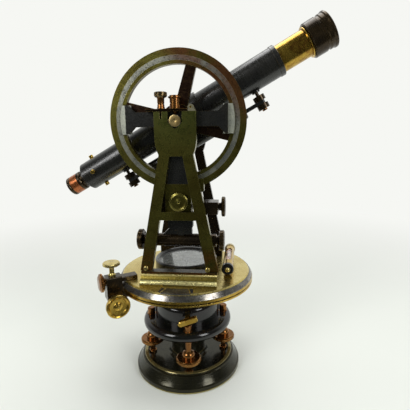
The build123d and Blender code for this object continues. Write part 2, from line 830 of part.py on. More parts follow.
with BuildPart() as front_standard:
    with BuildSketch(facing(-standard_face)):
        with BuildLine():
            shoulder = trunnion_height - shoulder_below_trunnion
            neck = trunnion_height - neck_below_trunnion
            Polyline(
                (-leg_foot_half_width, shoe_top), (leg_foot_half_width, shoe_top), (neck_half_width, neck))
            Spline((neck_half_width, neck), (head_half_width, shoulder), tangents=[(0.45, 1), (0.02, 1)])
            Polyline(
                (head_half_width, shoulder), (head_half_width, standard_top),
                (-head_half_width, standard_top), (-head_half_width, shoulder))
            Spline((-head_half_width, shoulder), (-neck_half_width, neck), tangents=[(0.02, -1), (0.45, -1)])
            Line((-neck_half_width, neck), (-leg_foot_half_width, shoe_top))
        make_face()
        with BuildLine():
            Polyline(opening_outline(shoe_top, crossbar_low))
        make_face(mode=Mode.SUBTRACT)
        with BuildLine():
            Polyline(opening_outline(crossbar_low + crossbar_height, opening_top))
        make_face(mode=Mode.SUBTRACT)
        with BuildLine():
            Polyline(
                (-wye_flat, wye_bottom), (wye_flat, wye_bottom), (wye_half_width, wye_corner),
                (wye_half_width, standard_top + 1), (-wye_half_width, standard_top + 1),
                (-wye_half_width, wye_corner), (-wye_flat, wye_bottom))
        make_face(mode=Mode.SUBTRACT)
    extrude(amount=-standard_thickness)
    with BuildSketch(Plane.YZ.offset(-shoe_half_length)):
        with BuildLine():
            Polyline(
                (-standard_back, deck_top), (shoe_face, deck_top), (shoe_face, deck_top + 2.6),
                (shoe_face + 1, deck_top + 3.4))
            ThreePointArc(
                (shoe_face + 1, deck_top + 3.4), (shoe_face + 4.2, deck_top + 5.4),
                (-standard_face - 3.4, deck_top + 10.2))
            Polyline(
                (-standard_face - 3.4, deck_top + 10.2), (-standard_face - 2.2, deck_top + 11),
                (-standard_face - 2.2, shoe_top), (-standard_back, shoe_top), (-standard_back, deck_top))
        make_face()
    extrude(amount=2 * shoe_half_length)
    for side in (-1, 1):
        with BuildSketch(facing(-(standard_face + standard_back) / 2 - side * ear_gap)):
            with Locations((hinge_x, hinge_height)):
                Circle(ear_radius)
            with BuildLine():
                Polyline(
                    (hinge_x - ear_radius, standard_top), (head_half_width, standard_top),
                    (hinge_x + ear_radius * 0.94, hinge_height + ear_radius * 0.34),
                    (hinge_x - ear_radius, hinge_height), (hinge_x - ear_radius, standard_top))
            make_face()
            with Locations((hinge_x, hinge_height)):
                Circle(hinge_pin_radius, mode=Mode.SUBTRACT)
        extrude(amount=side * (standard_thickness / 2 - ear_gap))
    with BuildSketch(Plane.XY.offset(standard_top)):
        with Locations((-thumb_x, -(standard_face + standard_back) / 2)):
            Circle(thumb_socket_radius)
    extrude(amount=-thumb_socket_depth, mode=Mode.SUBTRACT)
finish(front_standard, "front_standard")

with BuildPart() as rear_standard:
    add(front_standard.part.mirror(Plane.XZ))
finish(rear_standard, "rear_standard")

with BuildPart() as cap_hinge_pins:
    for side in (-1, 1):
        with BuildSketch(facing(side * standard_back)):
            with Locations((hinge_x, hinge_height)):
                Circle(hinge_pin_radius)
        extrude(amount=-side * standard_thickness)
finish(cap_hinge_pins, "cap_hinge_pins")

# Bearing caps: a hinged strip with a drum whose tip holds the pivot down, and a thumbscrew
strip_low = standard_top + body_gap
strip_high = strip_low + cap_thickness
strip_end = hinge_x - ear_radius - 2 * seat_gap - body_gap
cap_y = (standard_face + standard_back) / 2
tip_low = trunnion_height + trunnion_radius + body_gap
plunger_top = strip_high + plunger_height
thumb_tip_low = standard_top - thumb_tip_entry
for name, side in (("front", -1), ("rear", 1)):
    with BuildPart() as bearing_cap:
        with BuildSketch(Plane.XY.offset(strip_low)):
            with Locations(((strip_end - head_half_width - cap_overhang) / 2, side * cap_y)):
                RectangleRounded(strip_end + head_half_width + cap_overhang, standard_thickness, 0.8)
            with Locations(((strip_end + hinge_x) / 2, side * cap_y)):
                Rectangle(hinge_x - strip_end + 1, knuckle_width)
        extrude(amount=cap_thickness)
        with BuildSketch(facing(side * cap_y - knuckle_width / 2)):
            with Locations((hinge_x, hinge_height)):
                Circle(knuckle_radius)
        extrude(amount=-knuckle_width)
        with BuildSketch(Plane.XZ.offset(-side * cap_y)):
            with BuildLine():
                Polyline(
                    (0, strip_high), (plunger_radius, strip_high), (plunger_radius, strip_high + 4.6),
                    (plunger_radius - 0.5, strip_high + 4.9), (plunger_radius - 0.5, strip_high + 5.5),
                    (plunger_radius, strip_high + 5.8), (plunger_radius, plunger_top - 3.2),
                    (plunger_flange_radius, plunger_top - 2.2), (plunger_flange_radius, plunger_top - 1.2),
                    (plunger_radius, plunger_top - 1), (plunger_radius, plunger_top), (0, plunger_top),
                    (0, strip_high))
            make_face()
            with BuildLine():
                Polyline(
                    (0, strip_low + 1), (plunger_tip_radius, strip_low + 1),
                    (plunger_tip_radius, strip_low - 0.4), (0.8, tip_low), (0, tip_low), (0, strip_low + 1))
            make_face()
        revolve(axis=Axis((0, side * cap_y, 0), (0, 0, 1)))
        with BuildSketch(Plane.XY.offset(strip_high)):
            with Locations((-thumb_x, side * cap_y)):
                Circle(thumb_tip_radius + running_gap)
        extrude(amount=-cap_thickness, mode=Mode.SUBTRACT)
        with BuildSketch(facing(side * cap_y - knuckle_width / 2)):
            with Locations((hinge_x, hinge_height)):
                Circle(hinge_pin_radius + running_gap)
        extrude(amount=-knuckle_width, mode=Mode.SUBTRACT)
    finish(bearing_cap, f"{name}_bearing_cap")

    with BuildPart() as cap_thumbscrew:
        stem_foot = strip_high + body_gap
        head_foot = stem_foot + thumb_stem_height
        with BuildSketch(Plane.XZ.offset(-side * cap_y)):
            with BuildLine():
                x = -thumb_x
                Polyline(
                    (x, thumb_tip_low), (x + thumb_tip_radius - 0.5, thumb_tip_low),
                    (x + thumb_tip_radius, thumb_tip_low + 0.5), (x + thumb_tip_radius, stem_foot),
                    (x + thumb_stem_radius + 0.4, stem_foot), (x + thumb_stem_radius + 0.4, stem_foot + 1),
                    (x + thumb_stem_radius, stem_foot + 1.6), (x + thumb_stem_radius, head_foot),
                    (x + thumb_head_radius - 1, head_foot), (x + thumb_head_radius, head_foot + 1.6),
                    (x + thumb_head_radius, head_foot + thumb_head_height - 0.6),
                    (x + thumb_head_radius - 0.6, head_foot + thumb_head_height),
                    (x, head_foot + thumb_head_height), (x, thumb_tip_low))
            make_face()
        revolve(axis=Axis((-thumb_x, side * cap_y, 0), (0, 0, 1)))
    finish(cap_thumbscrew, f"{name}_cap_thumbscrew")

# Vernier frame, centred on the trunnion in front of the vertical circle
arm_height = trunnion_height + frame_lift
arm_low = arm_height - frame_arm_half
arm_high = arm_height + frame_arm_half
flare_low = arm_height - frame_flare_half
flare_high = arm_height + frame_flare_half
frame_lip = frame_reach - 3
with BuildPart() as vernier_frame:
    with BuildSketch(facing(-frame_front)):
        with Locations((0, trunnion_height)):
            Circle(frame_hub_radius)
        with BuildLine():
            Polyline(
                (-frame_reach, flare_low), (-frame_lip, flare_low), (-frame_flare_start, arm_low),
                (frame_flare_start, arm_low), (frame_lip, flare_low), (frame_reach, flare_low),
                (frame_reach, flare_high), (frame_lip, flare_high), (frame_flare_start, arm_high),
                (-frame_flare_start, arm_high), (-frame_lip, flare_high), (-frame_reach, flare_high),
                (-frame_reach, flare_low))
        make_face()
        with BuildLine():
            Polyline(
                (-down_arm_half, trunnion_height), (-down_arm_foot_half, trunnion_height - clamp_block_top),
                (down_arm_foot_half, trunnion_height - clamp_block_top), (down_arm_half, trunnion_height),
                (-down_arm_half, trunnion_height))
        make_face()
        with Locations((0, trunnion_height)):
            Circle(shoulder_journal_radius + running_gap, mode=Mode.SUBTRACT)
    extrude(amount=-frame_thickness)
finish(vernier_frame, "vernier_frame")

vernier_plane_y = frame_front - frame_thickness
with BuildPart() as circle_verniers:
    with BuildSketch(facing(-vernier_plane_y)):
        with Locations((0, trunnion_height)):
            Circle(circle_vernier_outer)
        with Locations((0, arm_height)):
            Rectangle(2 * circle_vernier_outer, 2 * circle_vernier_half, mode=Mode.INTERSECT)
            Rectangle(2 * (circle_vernier_inner - 5), 3 * circle_vernier_half, mode=Mode.SUBTRACT)
    extrude(amount=-circle_vernier_thickness)
finish(circle_verniers, "circle_verniers")

# Clamp block round the edge of the vertical circle, with its tail down to the clip screws
slot_front = circle_face + clamp_slot_gap
slot_back = circle_face - circle_thickness - clamp_slot_gap
block_front = frame_front + seat_gap
clamp_height_z = trunnion_height - circle_clamp_drop
with BuildPart() as circle_clamp_block:
    with BuildSketch(facing(-block_front)):
        with Locations((0, trunnion_height - (clamp_block_top + clamp_block_bottom) / 2)):
            RectangleRounded(2 * clamp_block_half, clamp_block_bottom - clamp_block_top, 1.0)
    extrude(amount=-(block_front - clamp_jaw_back))
    with BuildSketch(facing(-block_front)):
        with Locations(((clamp_block_half + jaw_ear_reach) / 2 - 1,
                        trunnion_height - (jaw_ear_low + jaw_ear_high) / 2)):
            RectangleRounded(jaw_ear_reach - clamp_block_half + 2, jaw_ear_low - jaw_ear_high, 1.0)
    extrude(amount=-(block_front - slot_front))
    with BuildSketch(facing(-slot_front)):
        with Locations((0, trunnion_height)):
            Circle(circle_radius + clamp_slot_gap)
    extrude(amount=-(slot_front - slot_back), mode=Mode.SUBTRACT)
    with BuildSketch(facing(-block_front)):
        with Locations((circle_clamp_x, clamp_height_z)):
            Circle(circle_clamp_shank + running_gap)
    extrude(amount=-(block_front - slot_back), mode=Mode.SUBTRACT)
finish(circle_clamp_block, "circle_clamp_block")

with BuildPart() as clip_tail:
    tail_top = trunnion_height - clamp_block_bottom
    clip_height = trunnion_height - clip_drop
    with BuildSketch(facing(-clip_y - tongue_thickness / 2)):
        with BuildLine():
            Polyline(
                (-tail_half_width, tail_top), (-tail_half_width, tail_top - tail_depth + 4),
                (-tail_half_width + 4, tail_top - tail_depth), (-tongue_half_width, tail_top - tail_depth),
                (-tongue_half_width, clip_height - clip_screw_radius + 1),
                (tongue_half_width, clip_height - clip_screw_radius + 1),
                (tongue_half_width, tail_top - tail_depth), (tail_half_width - 4, tail_top - tail_depth),
                (tail_half_width, tail_top - tail_depth + 4), (tail_half_width, tail_top),
                (-tail_half_width, tail_top))
        make_face()
    extrude(amount=-tongue_thickness)
finish(clip_tail, "clip_tail")

with BuildPart() as circle_clamp_screw:
    head_back = standard_face - 3
    with BuildSketch(facing(-head_back - circle_clamp_head_length)):
        with Locations((circle_clamp_x, clamp_height_z)):
            Circle(circle_clamp_head_radius)
    extrude(amount=-circle_clamp_head_length)
    chamfer(circle_clamp_screw.edges().group_by(Axis.Y)[0], 0.7)
    with BuildSketch(facing(-head_back)):
        with Locations((circle_clamp_x, clamp_height_z)):
            Circle(circle_clamp_shank)
    extrude(amount=-(head_back - slot_front - body_gap))
finish(circle_clamp_screw, "circle_clamp_screw")

# Slow motion of the vertical circle: a bracket on the right leg carries the tangent screw
tangent_height = trunnion_height - tangent_drop
tangent_bracket_back = tangent_y - tangent_block_height / 2
with BuildPart() as vertical_tangent_bracket:
    with BuildSketch(Plane.YZ.offset(tangent_block_inner)):
        with Locations((-(standard_back + tangent_bracket_back) / 2, tangent_height)):
            RectangleRounded(standard_back - tangent_bracket_back, tangent_block_height, 0.8)
    extrude(amount=tangent_block_outer - tangent_block_inner)
    with BuildSketch(Plane.YZ.offset(tangent_block_inner)):
        with Locations((-tangent_y, tangent_height)):
            Circle(tangent_screw_radius + running_gap)
    extrude(amount=tangent_block_outer - tangent_block_inner, mode=Mode.SUBTRACT)
finish(vertical_tangent_bracket, "vertical_tangent_bracket")

with BuildPart() as vertical_tangent_screw:
    with BuildSketch(Plane.XZ.offset(tangent_y)):
        with BuildLine():
            tip = clamp_block_half + body_gap
            collar = tangent_block_outer + body_gap
            knob_end = tangent_knob_x + tangent_knob_length
            z = tangent_height
            Polyline(
                (tip, z), (tip, z + tangent_screw_radius - 0.6), (tip + 0.6, z + tangent_screw_radius),
                (collar, z + tangent_screw_radius), (collar, z + tangent_screw_radius + 1.6),
                (tangent_knob_x, z + tangent_screw_radius + 1.6),
                (tangent_knob_x, z + tangent_knob_radius - 0.6),
                (tangent_knob_x + 0.6, z + tangent_knob_radius), (knob_end - 0.6, z + tangent_knob_radius),
                (knob_end, z + tangent_knob_radius - 0.6), (knob_end, z + 4), (knob_end - 0.8, z + 3.4),
                (knob_end - 0.8, z), (tip, z))
        make_face()
    revolve(axis=Axis((0, -tangent_y, tangent_height), (1, 0, 0)))
finish(vertical_tangent_screw, "vertical_tangent_screw")

# Clip: a sleeve across both legs, with a screw from each side onto the tongue
with BuildPart() as clip_sleeve:
    with BuildSketch(Plane.YZ.offset(-sleeve_half)):
        with Locations((-clip_y, clip_height)):
            Circle(sleeve_radius)
    extrude(amount=2 * sleeve_half)
    for side in (-1, 1):
        with BuildSketch(Plane.YZ.offset(side * saddle_inner)):
            with Locations((-(standard_back + clip_y) / 2, clip_height)):
                Rectangle(standard_back - clip_y, saddle_height)
        extrude(amount=side * (saddle_outer - saddle_inner))
    with BuildSketch(Plane.YZ.offset(-sleeve_half)):
        with Locations((-clip_y, clip_height)):
            Circle(clip_screw_radius + running_gap)
    extrude(amount=2 * sleeve_half, mode=Mode.SUBTRACT)
    with BuildSketch(Plane.XY.offset(clip_height - clip_screw_radius + 0.5)):
        with Locations((0, -clip_y)):
            Rectangle(2 * tongue_half_width + 7, tongue_thickness + 2 * body_gap)
    extrude(amount=2 * sleeve_radius, mode=Mode.SUBTRACT)
finish(clip_sleeve, "clip_sleeve")

for name, side in (("left", -1), ("right", 1)):
    with BuildPart() as clip_screw:
        with BuildSketch(Plane.XZ.offset(clip_y)):
            with BuildLine():
                tip = tongue_half_width + body_gap
                neck = sleeve_half + body_gap
                knob = neck + clip_neck_length
                end = knob + clip_knob_length
                z = clip_height
                Polyline(
                    (side * tip, z), (side * tip, z + clip_screw_radius - 0.8),
                    (side * (tip + 0.8), z + clip_screw_radius), (side * neck, z + clip_screw_radius),
                    (side * neck, z + clip_neck_radius), (side * knob, z + clip_neck_radius),
                    (side * knob, z + clip_knob_radius - 0.8), (side * (knob + 0.8), z + clip_knob_radius),
                    (side * (end - 0.8), z + clip_knob_radius), (side * end, z + clip_knob_radius - 0.8),
                    (side * end, z), (side * tip, z))
            make_face()
        revolve(axis=Axis((0, -clip_y, clip_height), (1, 0, 0)))
    finish(clip_screw, f"clip_screw_{name}")

# Clamp of the two plates at the left: an arm over the limb, its block, jaw, post and tangent nut
side_low = deck_top - side_block_drop
jaw_top = limb_under - body_gap
nut_height = side_low - nut_drop
with BuildPart() as side_clamp_arm:
    with BuildSketch(outward(side_angle, side_arm_inner, 0)):
        with Locations((0, deck_top + side_arm_thickness / 2)):
            RectangleRounded(side_arm_width, side_arm_thickness, 0.8)
    extrude(amount=side_block_inner - side_arm_inner + 2)
    with BuildSketch(outward(side_angle, side_block_inner, 0)):
        with Locations((0, (side_low + deck_top + side_block_rise) / 2)):
            RectangleRounded(side_block_width, side_block_drop + side_block_rise, 1.2)
    extrude(amount=side_block_outer - side_block_inner)
    with BuildSketch(outward(side_angle, jaw_reach, 0)):
        with Locations((0, jaw_top - jaw_thickness / 2)):
            Rectangle(side_arm_width, jaw_thickness)
    extrude(amount=side_block_inner - jaw_reach + 2)
    with BuildSketch(radial(side_angle).offset(nut_length / 2)):
        with Locations((wing_place, nut_height)):
            Circle(nut_radius)
    extrude(amount=-nut_length)
    with BuildSketch(outward(side_angle, side_block_outer, 0)):
        with Locations((0, deck_top + radial_screw_rise)):
            Circle(side_screw_radius + running_gap)
    extrude(amount=-(side_block_outer - wing_place), mode=Mode.SUBTRACT)
    with BuildSketch(Plane.XY.offset(deck_top + side_block_rise)):
        with PolarLocations(wing_place, 1, start_angle=side_angle):
            Circle(side_screw_radius + running_gap)
    extrude(amount=-side_block_rise - side_block_drop + side_bore_floor, mode=Mode.SUBTRACT)
    with BuildSketch(radial(side_angle).offset(nut_length / 2)):
        with Locations((wing_place, nut_height)):
            Circle(side_screw_radius + running_gap)
    extrude(amount=-nut_length, mode=Mode.SUBTRACT)
finish(side_clamp_arm, "side_clamp_arm")

radial_tip = wing_place + side_screw_radius + body_gap
with BuildPart() as side_radial_screw:
    knob_foot = side_block_outer + body_gap + 1
    with BuildSketch(outward(side_angle, radial_tip, 0)):
        with Locations((0, deck_top + radial_screw_rise)):
            Circle(side_screw_radius)
    extrude(amount=knob_foot - radial_tip)
    with BuildSketch(outward(side_angle, knob_foot - 1, 0)):
        with Locations((0, deck_top + radial_screw_rise)):
            Circle(side_screw_radius + 1.6)
    extrude(amount=1)
    with BuildSketch(outward(side_angle, knob_foot, 0)):
        with Locations((0, deck_top + radial_screw_rise)):
            Circle(radial_knob_radius)
            with PolarLocations(radial_knob_radius + 0.6, 14):
                Circle(1.5, mode=Mode.SUBTRACT)
    extrude(amount=radial_knob_length)
finish(side_radial_screw, "side_radial_screw")

side_unit = (cos(radians(side_angle)), sin(radians(side_angle)))
wing_x = wing_place * side_unit[0]
wing_y = wing_place * side_unit[1]
with BuildPart() as side_thumbscrew:
    block_top = deck_top + side_block_rise
    stem_top = block_top + body_gap + wing_stem_height
    with BuildSketch(radial(side_angle)):
        with BuildLine():
            x = wing_place
            low = deck_top - side_block_drop + side_bore_floor + body_gap
            head_end = stem_top + wing_head_height
            Polyline(
                (x, low), (x + side_screw_radius, low), (x + side_screw_radius, block_top + body_gap),
                (x + side_screw_radius + 1.4, block_top + body_gap),
                (x + side_screw_radius + 1.4, block_top + body_gap + 1.6),
                (x + side_screw_radius, block_top + body_gap + 2.4), (x + side_screw_radius, stem_top - 1.4),
                (x + side_screw_radius + 1.6, stem_top), (x + wing_head_radius - 0.6, stem_top),
                (x + wing_head_radius, stem_top + 0.6), (x + wing_head_radius, head_end - 0.8),
                (x + wing_head_radius - 0.8, head_end), (x, head_end), (x, low))
        make_face()
    revolve(axis=Axis((wing_x, wing_y, 0), (0, 0, 1)))
finish(side_thumbscrew, "side_thumbscrew")

tangent = (-side_unit[1], side_unit[0], 0)
tangent_plane = Plane(origin=(wing_x, wing_y, nut_height), x_dir=tangent, z_dir=(0, 0, 1))
with BuildPart() as side_tangent_screw:
    with BuildSketch(tangent_plane):
        with BuildLine():
            shank = side_screw_radius
            back = -nut_length / 2 - 4
            dish = tangent_knob_offset - dish_length / 2
            rim = dish + dish_length
            Polyline(
                (back, 0), (back, shank - 0.6), (back + 0.6, shank), (nut_length / 2 + body_gap, shank),
                (nut_length / 2 + body_gap, shank + 1.4), (dish - 3, shank + 1.4), (dish, shank + 3),
                (dish, dish_radius - 1), (dish + 1, dish_radius), (rim - 0.8, dish_radius),
                (rim, dish_radius - 0.8), (rim, dish_radius - 2), (rim - dish_depth, dish_radius - 4),
                (rim - dish_depth, shank + 1.2), (rim - dish_depth + 0.6, shank + 0.4),
                (rim - dish_depth + 0.6, 0), (back, 0))
        make_face()
    revolve(axis=Axis((wing_x, wing_y, nut_height), tangent))
finish(side_tangent_screw, "side_tangent_screw")

# Trunnion axle: a sleeve round the telescope with a cone and two journals on each side
with BuildPart() as trunnion_axle:
    with BuildSketch(Plane.YZ):
        with BuildLine():
            z = trunnion_height
            hub_back = circle_face - circle_thickness
            pivot_end = standard_face + trunnion_end_proud
            pivot_start = standard_back - body_gap
            Polyline(
                (0, z), (0, z + trunnion_boss_radius), (trunnion_boss_half, z + trunnion_boss_radius),
                (hub_back - 1, z + arbor_radius + 2), (hub_back, z + arbor_radius + 2),
                (hub_back, z + arbor_radius), (vernier_plane_y - body_gap, z + arbor_radius),
                (vernier_plane_y - body_gap, z + shoulder_journal_radius),
                (pivot_start, z + shoulder_journal_radius),
                (pivot_start, z + trunnion_radius), (pivot_end - 0.6, z + trunnion_radius),
                (pivot_end, z + trunnion_radius - 0.6), (pivot_end, z + 1.1), (pivot_end - 2.4, z),
                (0, z))
        make_face()
    revolve(axis=Axis(trunnion_centre, (0, 1, 0)))
    mirror(about=Plane.XZ)
    with BuildSketch(across_sight(-centre_sleeve_half)):
        Circle(centre_sleeve_radius)
    extrude(amount=2 * centre_sleeve_half)
    with BuildSketch(across_sight(-centre_sleeve_half)):
        Circle(tube_radius)
    extrude(amount=2 * centre_sleeve_half, mode=Mode.SUBTRACT)
finish(trunnion_axle, "trunnion_axle")

# Telescope body: main tube with the boss for the eyepiece and the box for the focusing pinion
tube_bore = tube_radius - tube_wall
pinion_pitch = gear_module * pinion_teeth / 2
pinion_tip = pinion_pitch + tooth_addendum
pinion_lift = rack_lift + pinion_pitch
cavity = pinion_tip + body_gap
box_half_y = rack_half_width + body_gap + pinion_cheek
with BuildPart() as main_tube:
    with BuildSketch(along_sight()):
        with BuildLine():
            Polyline(
                (-tube_back - eye_boss_length, eyepiece_tube_radius + running_gap),
                (-tube_back - eye_boss_length, eye_boss_radius - 0.6),
                (-tube_back - eye_boss_length + 0.6, eye_boss_radius), (-tube_back, eye_boss_radius),
                (-tube_back, tube_radius - 0.5), (-tube_back + 0.5, tube_radius),
                (tube_front - 5, tube_radius), (tube_front - 5, tube_radius + 0.6),
                (tube_front - 0.5, tube_radius + 0.6), (tube_front, tube_radius),
                (tube_front, tube_bore), (-tube_back + 3, tube_bore),
                (-tube_back + 3, eyepiece_tube_radius + running_gap),
                (-tube_back - eye_boss_length, eyepiece_tube_radius + running_gap))
        make_face()
    revolve(axis=sight_axis)
    with BuildSketch(along_sight(-box_half_y)):
        with BuildLine():
            top = pinion_lift + cavity + pinion_box_wall
            box_back = rack_place - pinion_box_half
            box_front = rack_place + pinion_box_half
            Polyline(
                (box_back, tube_radius - 1), (box_front, tube_radius - 1), (box_front, pinion_lift + 2),
                (rack_place + 3, top), (rack_place - 3, top), (box_back, pinion_lift + 2),
                (box_back, tube_radius - 1))
        make_face()
    extrude(amount=-2 * box_half_y)
    with BuildSketch(along_sight(-rack_half_width - body_gap)):
        with Locations((rack_place, pinion_lift)):
            Circle(cavity)
    extrude(amount=-2 * (rack_half_width + body_gap), mode=Mode.SUBTRACT)
    with BuildSketch(along_sight(-box_half_y)):
        with Locations((rack_place, pinion_lift)):
            Circle(pinion_shaft_radius + running_gap)
    extrude(amount=-2 * box_half_y, mode=Mode.SUBTRACT)
    for place in (-level_stud_place, level_stud_place):
        with BuildSketch(over_sight(place, -tube_radius - level_boss_height)):
            Circle(level_boss_radius)
        extrude(amount=level_boss_height + 1)
    with BuildSketch(over_sight(-diaphragm_place, tube_radius + 1)):
        Circle(diaphragm_screw_radius)
    extrude(amount=-2 * tube_radius - 2, mode=Mode.SUBTRACT)
    with BuildSketch(along_sight(-tube_radius - 1)):
        with Locations((-diaphragm_place, 0)):
            Circle(diaphragm_screw_radius)
    extrude(amount=-2 * tube_radius - 2, mode=Mode.SUBTRACT)
finish(main_tube, "main_tube")

# Diaphragm for the cross wires, held by four screws through the tube
head_end = tube_radius + diaphragm_head_height
with BuildPart() as diaphragm:
    with BuildSketch(across_sight(-diaphragm_place - diaphragm_length / 2)):
        Circle(tube_bore)
    extrude(amount=diaphragm_length)
    for plane in (over_sight(-diaphragm_place, tube_bore - 1), over_sight(-diaphragm_place, -head_end)):
        with BuildSketch(plane):
            Circle(diaphragm_screw_radius)
        extrude(amount=head_end - tube_bore + 1)
    for plane in (over_sight(-diaphragm_place, tube_radius), over_sight(-diaphragm_place, -head_end)):
        with BuildSketch(plane):
            Circle(diaphragm_head_radius)
        extrude(amount=diaphragm_head_height)
    for y in (-head_end, tube_bore - 1):
        with BuildSketch(along_sight(y)):
            with Locations((-diaphragm_place, 0)):
                Circle(diaphragm_screw_radius)
        extrude(amount=-(head_end - tube_bore + 1))
    for y in (-head_end, tube_radius):
        with BuildSketch(along_sight(y)):
            with Locations((-diaphragm_place, 0)):
                Circle(diaphragm_head_radius)
        extrude(amount=-diaphragm_head_height)
    with BuildSketch(across_sight(-diaphragm_place - diaphragm_length / 2)):
        Circle(diaphragm_bore)
    extrude(amount=diaphragm_length, mode=Mode.SUBTRACT)
finish(diaphragm, "diaphragm")

# Vertical circle with four spokes and its silver band
with BuildPart() as vertical_circle:
    with BuildSketch(facing(-circle_face)):
        with Locations((0, trunnion_height)):
            Circle(circle_radius)
            Circle(circle_inner_radius, mode=Mode.SUBTRACT)
            Circle(circle_hub_radius)
            Circle(arbor_radius, mode=Mode.SUBTRACT)
    extrude(amount=-circle_thickness)
    spoke_foot = circle_hub_radius - 2
    spoke_end = circle_inner_radius + 1
    with BuildSketch(facing(-circle_face + spoke_recess)):
        with Locations((0, trunnion_height)):
            for turn in range(4):
                Polygon(
                    (spoke_foot, -spoke_width_hub / 2), (spoke_end, -spoke_width_rim / 2),
                    (spoke_end, spoke_width_rim / 2), (spoke_foot, spoke_width_hub / 2),
                    rotation=telescope_elevation + 45 + 90 * turn, align=None)
    extrude(amount=-(circle_thickness - 2 * spoke_recess))
    with BuildSketch(facing(-circle_face)):
        with Locations((0, trunnion_height)):
            Circle(silver_band_outer)
            Circle(silver_band_inner, mode=Mode.SUBTRACT)
    extrude(amount=-silver_band_depth, mode=Mode.SUBTRACT)
finish(vertical_circle, "vertical_circle")

with BuildPart() as circle_silver_band:
    with BuildSketch(facing(-circle_face)):
        with Locations((0, trunnion_height)):
            Circle(silver_band_outer)
            Circle(silver_band_inner, mode=Mode.SUBTRACT)
    extrude(amount=-silver_band_depth)
finish(circle_silver_band, "circle_silver_band")

# Level hung under the telescope, between two studs with capstan nuts
level_axis = Axis(sight_centre - sight_normal * level_drop, sight)
cap_end = tube_level_half + tube_level_cap_length
lug_end = level_stud_place + level_lug_width / 2
lug_low = -level_drop - level_lug_thickness / 2
lug_high = -level_drop + level_lug_thickness / 2
with BuildPart() as telescope_level_tube:
    with BuildSketch(along_sight()):
        with BuildLine():
            low = -level_drop
            Polyline(
                (-cap_end, low), (-cap_end, low + tube_level_cap_radius - 1),
                (-cap_end + 1, low + tube_level_cap_radius), (-tube_level_half, low + tube_level_cap_radius),
                (-tube_level_half, low + tube_level_radius), (tube_level_half, low + tube_level_radius),
                (tube_level_half, low + tube_level_cap_radius), (cap_end - 1, low + tube_level_cap_radius),
                (cap_end, low + tube_level_cap_radius - 1), (cap_end, low), (-cap_end, low))
        make_face()
    revolve(axis=level_axis)
    for side in (-1, 1):
        with BuildSketch(over_sight(side * (tube_level_half + lug_end) / 2, lug_low)):
            RectangleRounded(lug_end - tube_level_half, level_lug_width, 2)
        extrude(amount=level_lug_thickness)
        with BuildSketch(over_sight(side * level_stud_place, lug_low)):
            Circle(level_stud_radius)
        extrude(amount=level_lug_thickness, mode=Mode.SUBTRACT)
    with BuildSketch(across_sight(-tube_level_half, -level_drop)):
        Circle(tube_level_radius - tube_level_wall)
    extrude(amount=2 * tube_level_half, mode=Mode.SUBTRACT)
    with BuildSketch(over_sight(0, -level_drop)):
        SlotOverall(tube_window_length, tube_window_width)
    extrude(amount=tube_level_radius + 1, mode=Mode.SUBTRACT)
finish(telescope_level_tube, "telescope_level_tube")

with BuildPart() as telescope_level_vial:
    with BuildSketch(across_sight(-tube_level_half, -level_drop)):
        Circle(tube_level_radius - tube_level_wall)
    extrude(amount=2 * tube_level_half)
finish(telescope_level_vial, "telescope_level_vial")

with BuildPart() as telescope_level_posts:
    stud_low = lug_low - capstan_height - 1
    for place in (-level_stud_place, level_stud_place):
        with BuildSketch(over_sight(place, stud_low)):
            Circle(level_stud_radius)
        extrude(amount=-tube_radius - level_boss_height - stud_low)
        with BuildSketch(over_sight(place, lug_high)):
            Circle(capstan_radius)
        extrude(amount=capstan_height)
        with BuildSketch(over_sight(place, lug_low)):
            Circle(capstan_radius)
        extrude(amount=-capstan_height)
        for height in (lug_high + capstan_height / 2, lug_low - capstan_height / 2):
            with BuildSketch(along_sight(-capstan_radius)):
                with Locations((place, height)):
                    Circle(capstan_hole_radius)
            extrude(amount=-capstan_hole_depth, mode=Mode.SUBTRACT)
finish(telescope_level_posts, "telescope_level_posts")

# Objective: draw tube with the focusing rack cut in its top, the cell and its lens
tooth_pitch = pi * gear_module
flank = tan(radians(pressure_angle))
gap_half = (tooth_pitch + tooth_backlash) / 4
rack_crest = rack_lift + tooth_addendum
rack_root = rack_lift - tooth_dedendum
crest_gap = gap_half + tooth_addendum * flank
root_gap = gap_half - tooth_dedendum * flank
with BuildPart() as draw_tube:
    with BuildSketch(across_sight(draw_back)):
        Circle(draw_radius)
        Circle(draw_radius - draw_wall, mode=Mode.SUBTRACT)
    extrude(amount=draw_front - draw_back)
    with BuildSketch(along_sight(-draw_radius)):
        with BuildLine():
            back = rack_place - (rack_gaps_behind + 0.5) * tooth_pitch
            ahead = rack_place + (rack_gaps_ahead + 0.5) * tooth_pitch
            Polyline((back, rack_crest), (ahead, rack_crest), (ahead, tube_radius), (back, tube_radius),
                     (back, rack_crest))
        make_face()
    extrude(amount=-2 * draw_radius, mode=Mode.SUBTRACT)
    with BuildSketch(along_sight(-rack_half_width)):
        for gap in range(-rack_gaps_behind, rack_gaps_ahead + 1):
            middle = rack_place + gap * tooth_pitch
            with BuildLine():
                Polyline(
                    (middle - root_gap, rack_root), (middle + root_gap, rack_root),
                    (middle + crest_gap, rack_crest), (middle + crest_gap, tube_radius),
                    (middle - crest_gap, tube_radius), (middle - crest_gap, rack_crest),
                    (middle - root_gap, rack_root))
            make_face()
    extrude(amount=-2 * rack_half_width, mode=Mode.SUBTRACT)
finish(draw_tube, "draw_tube")

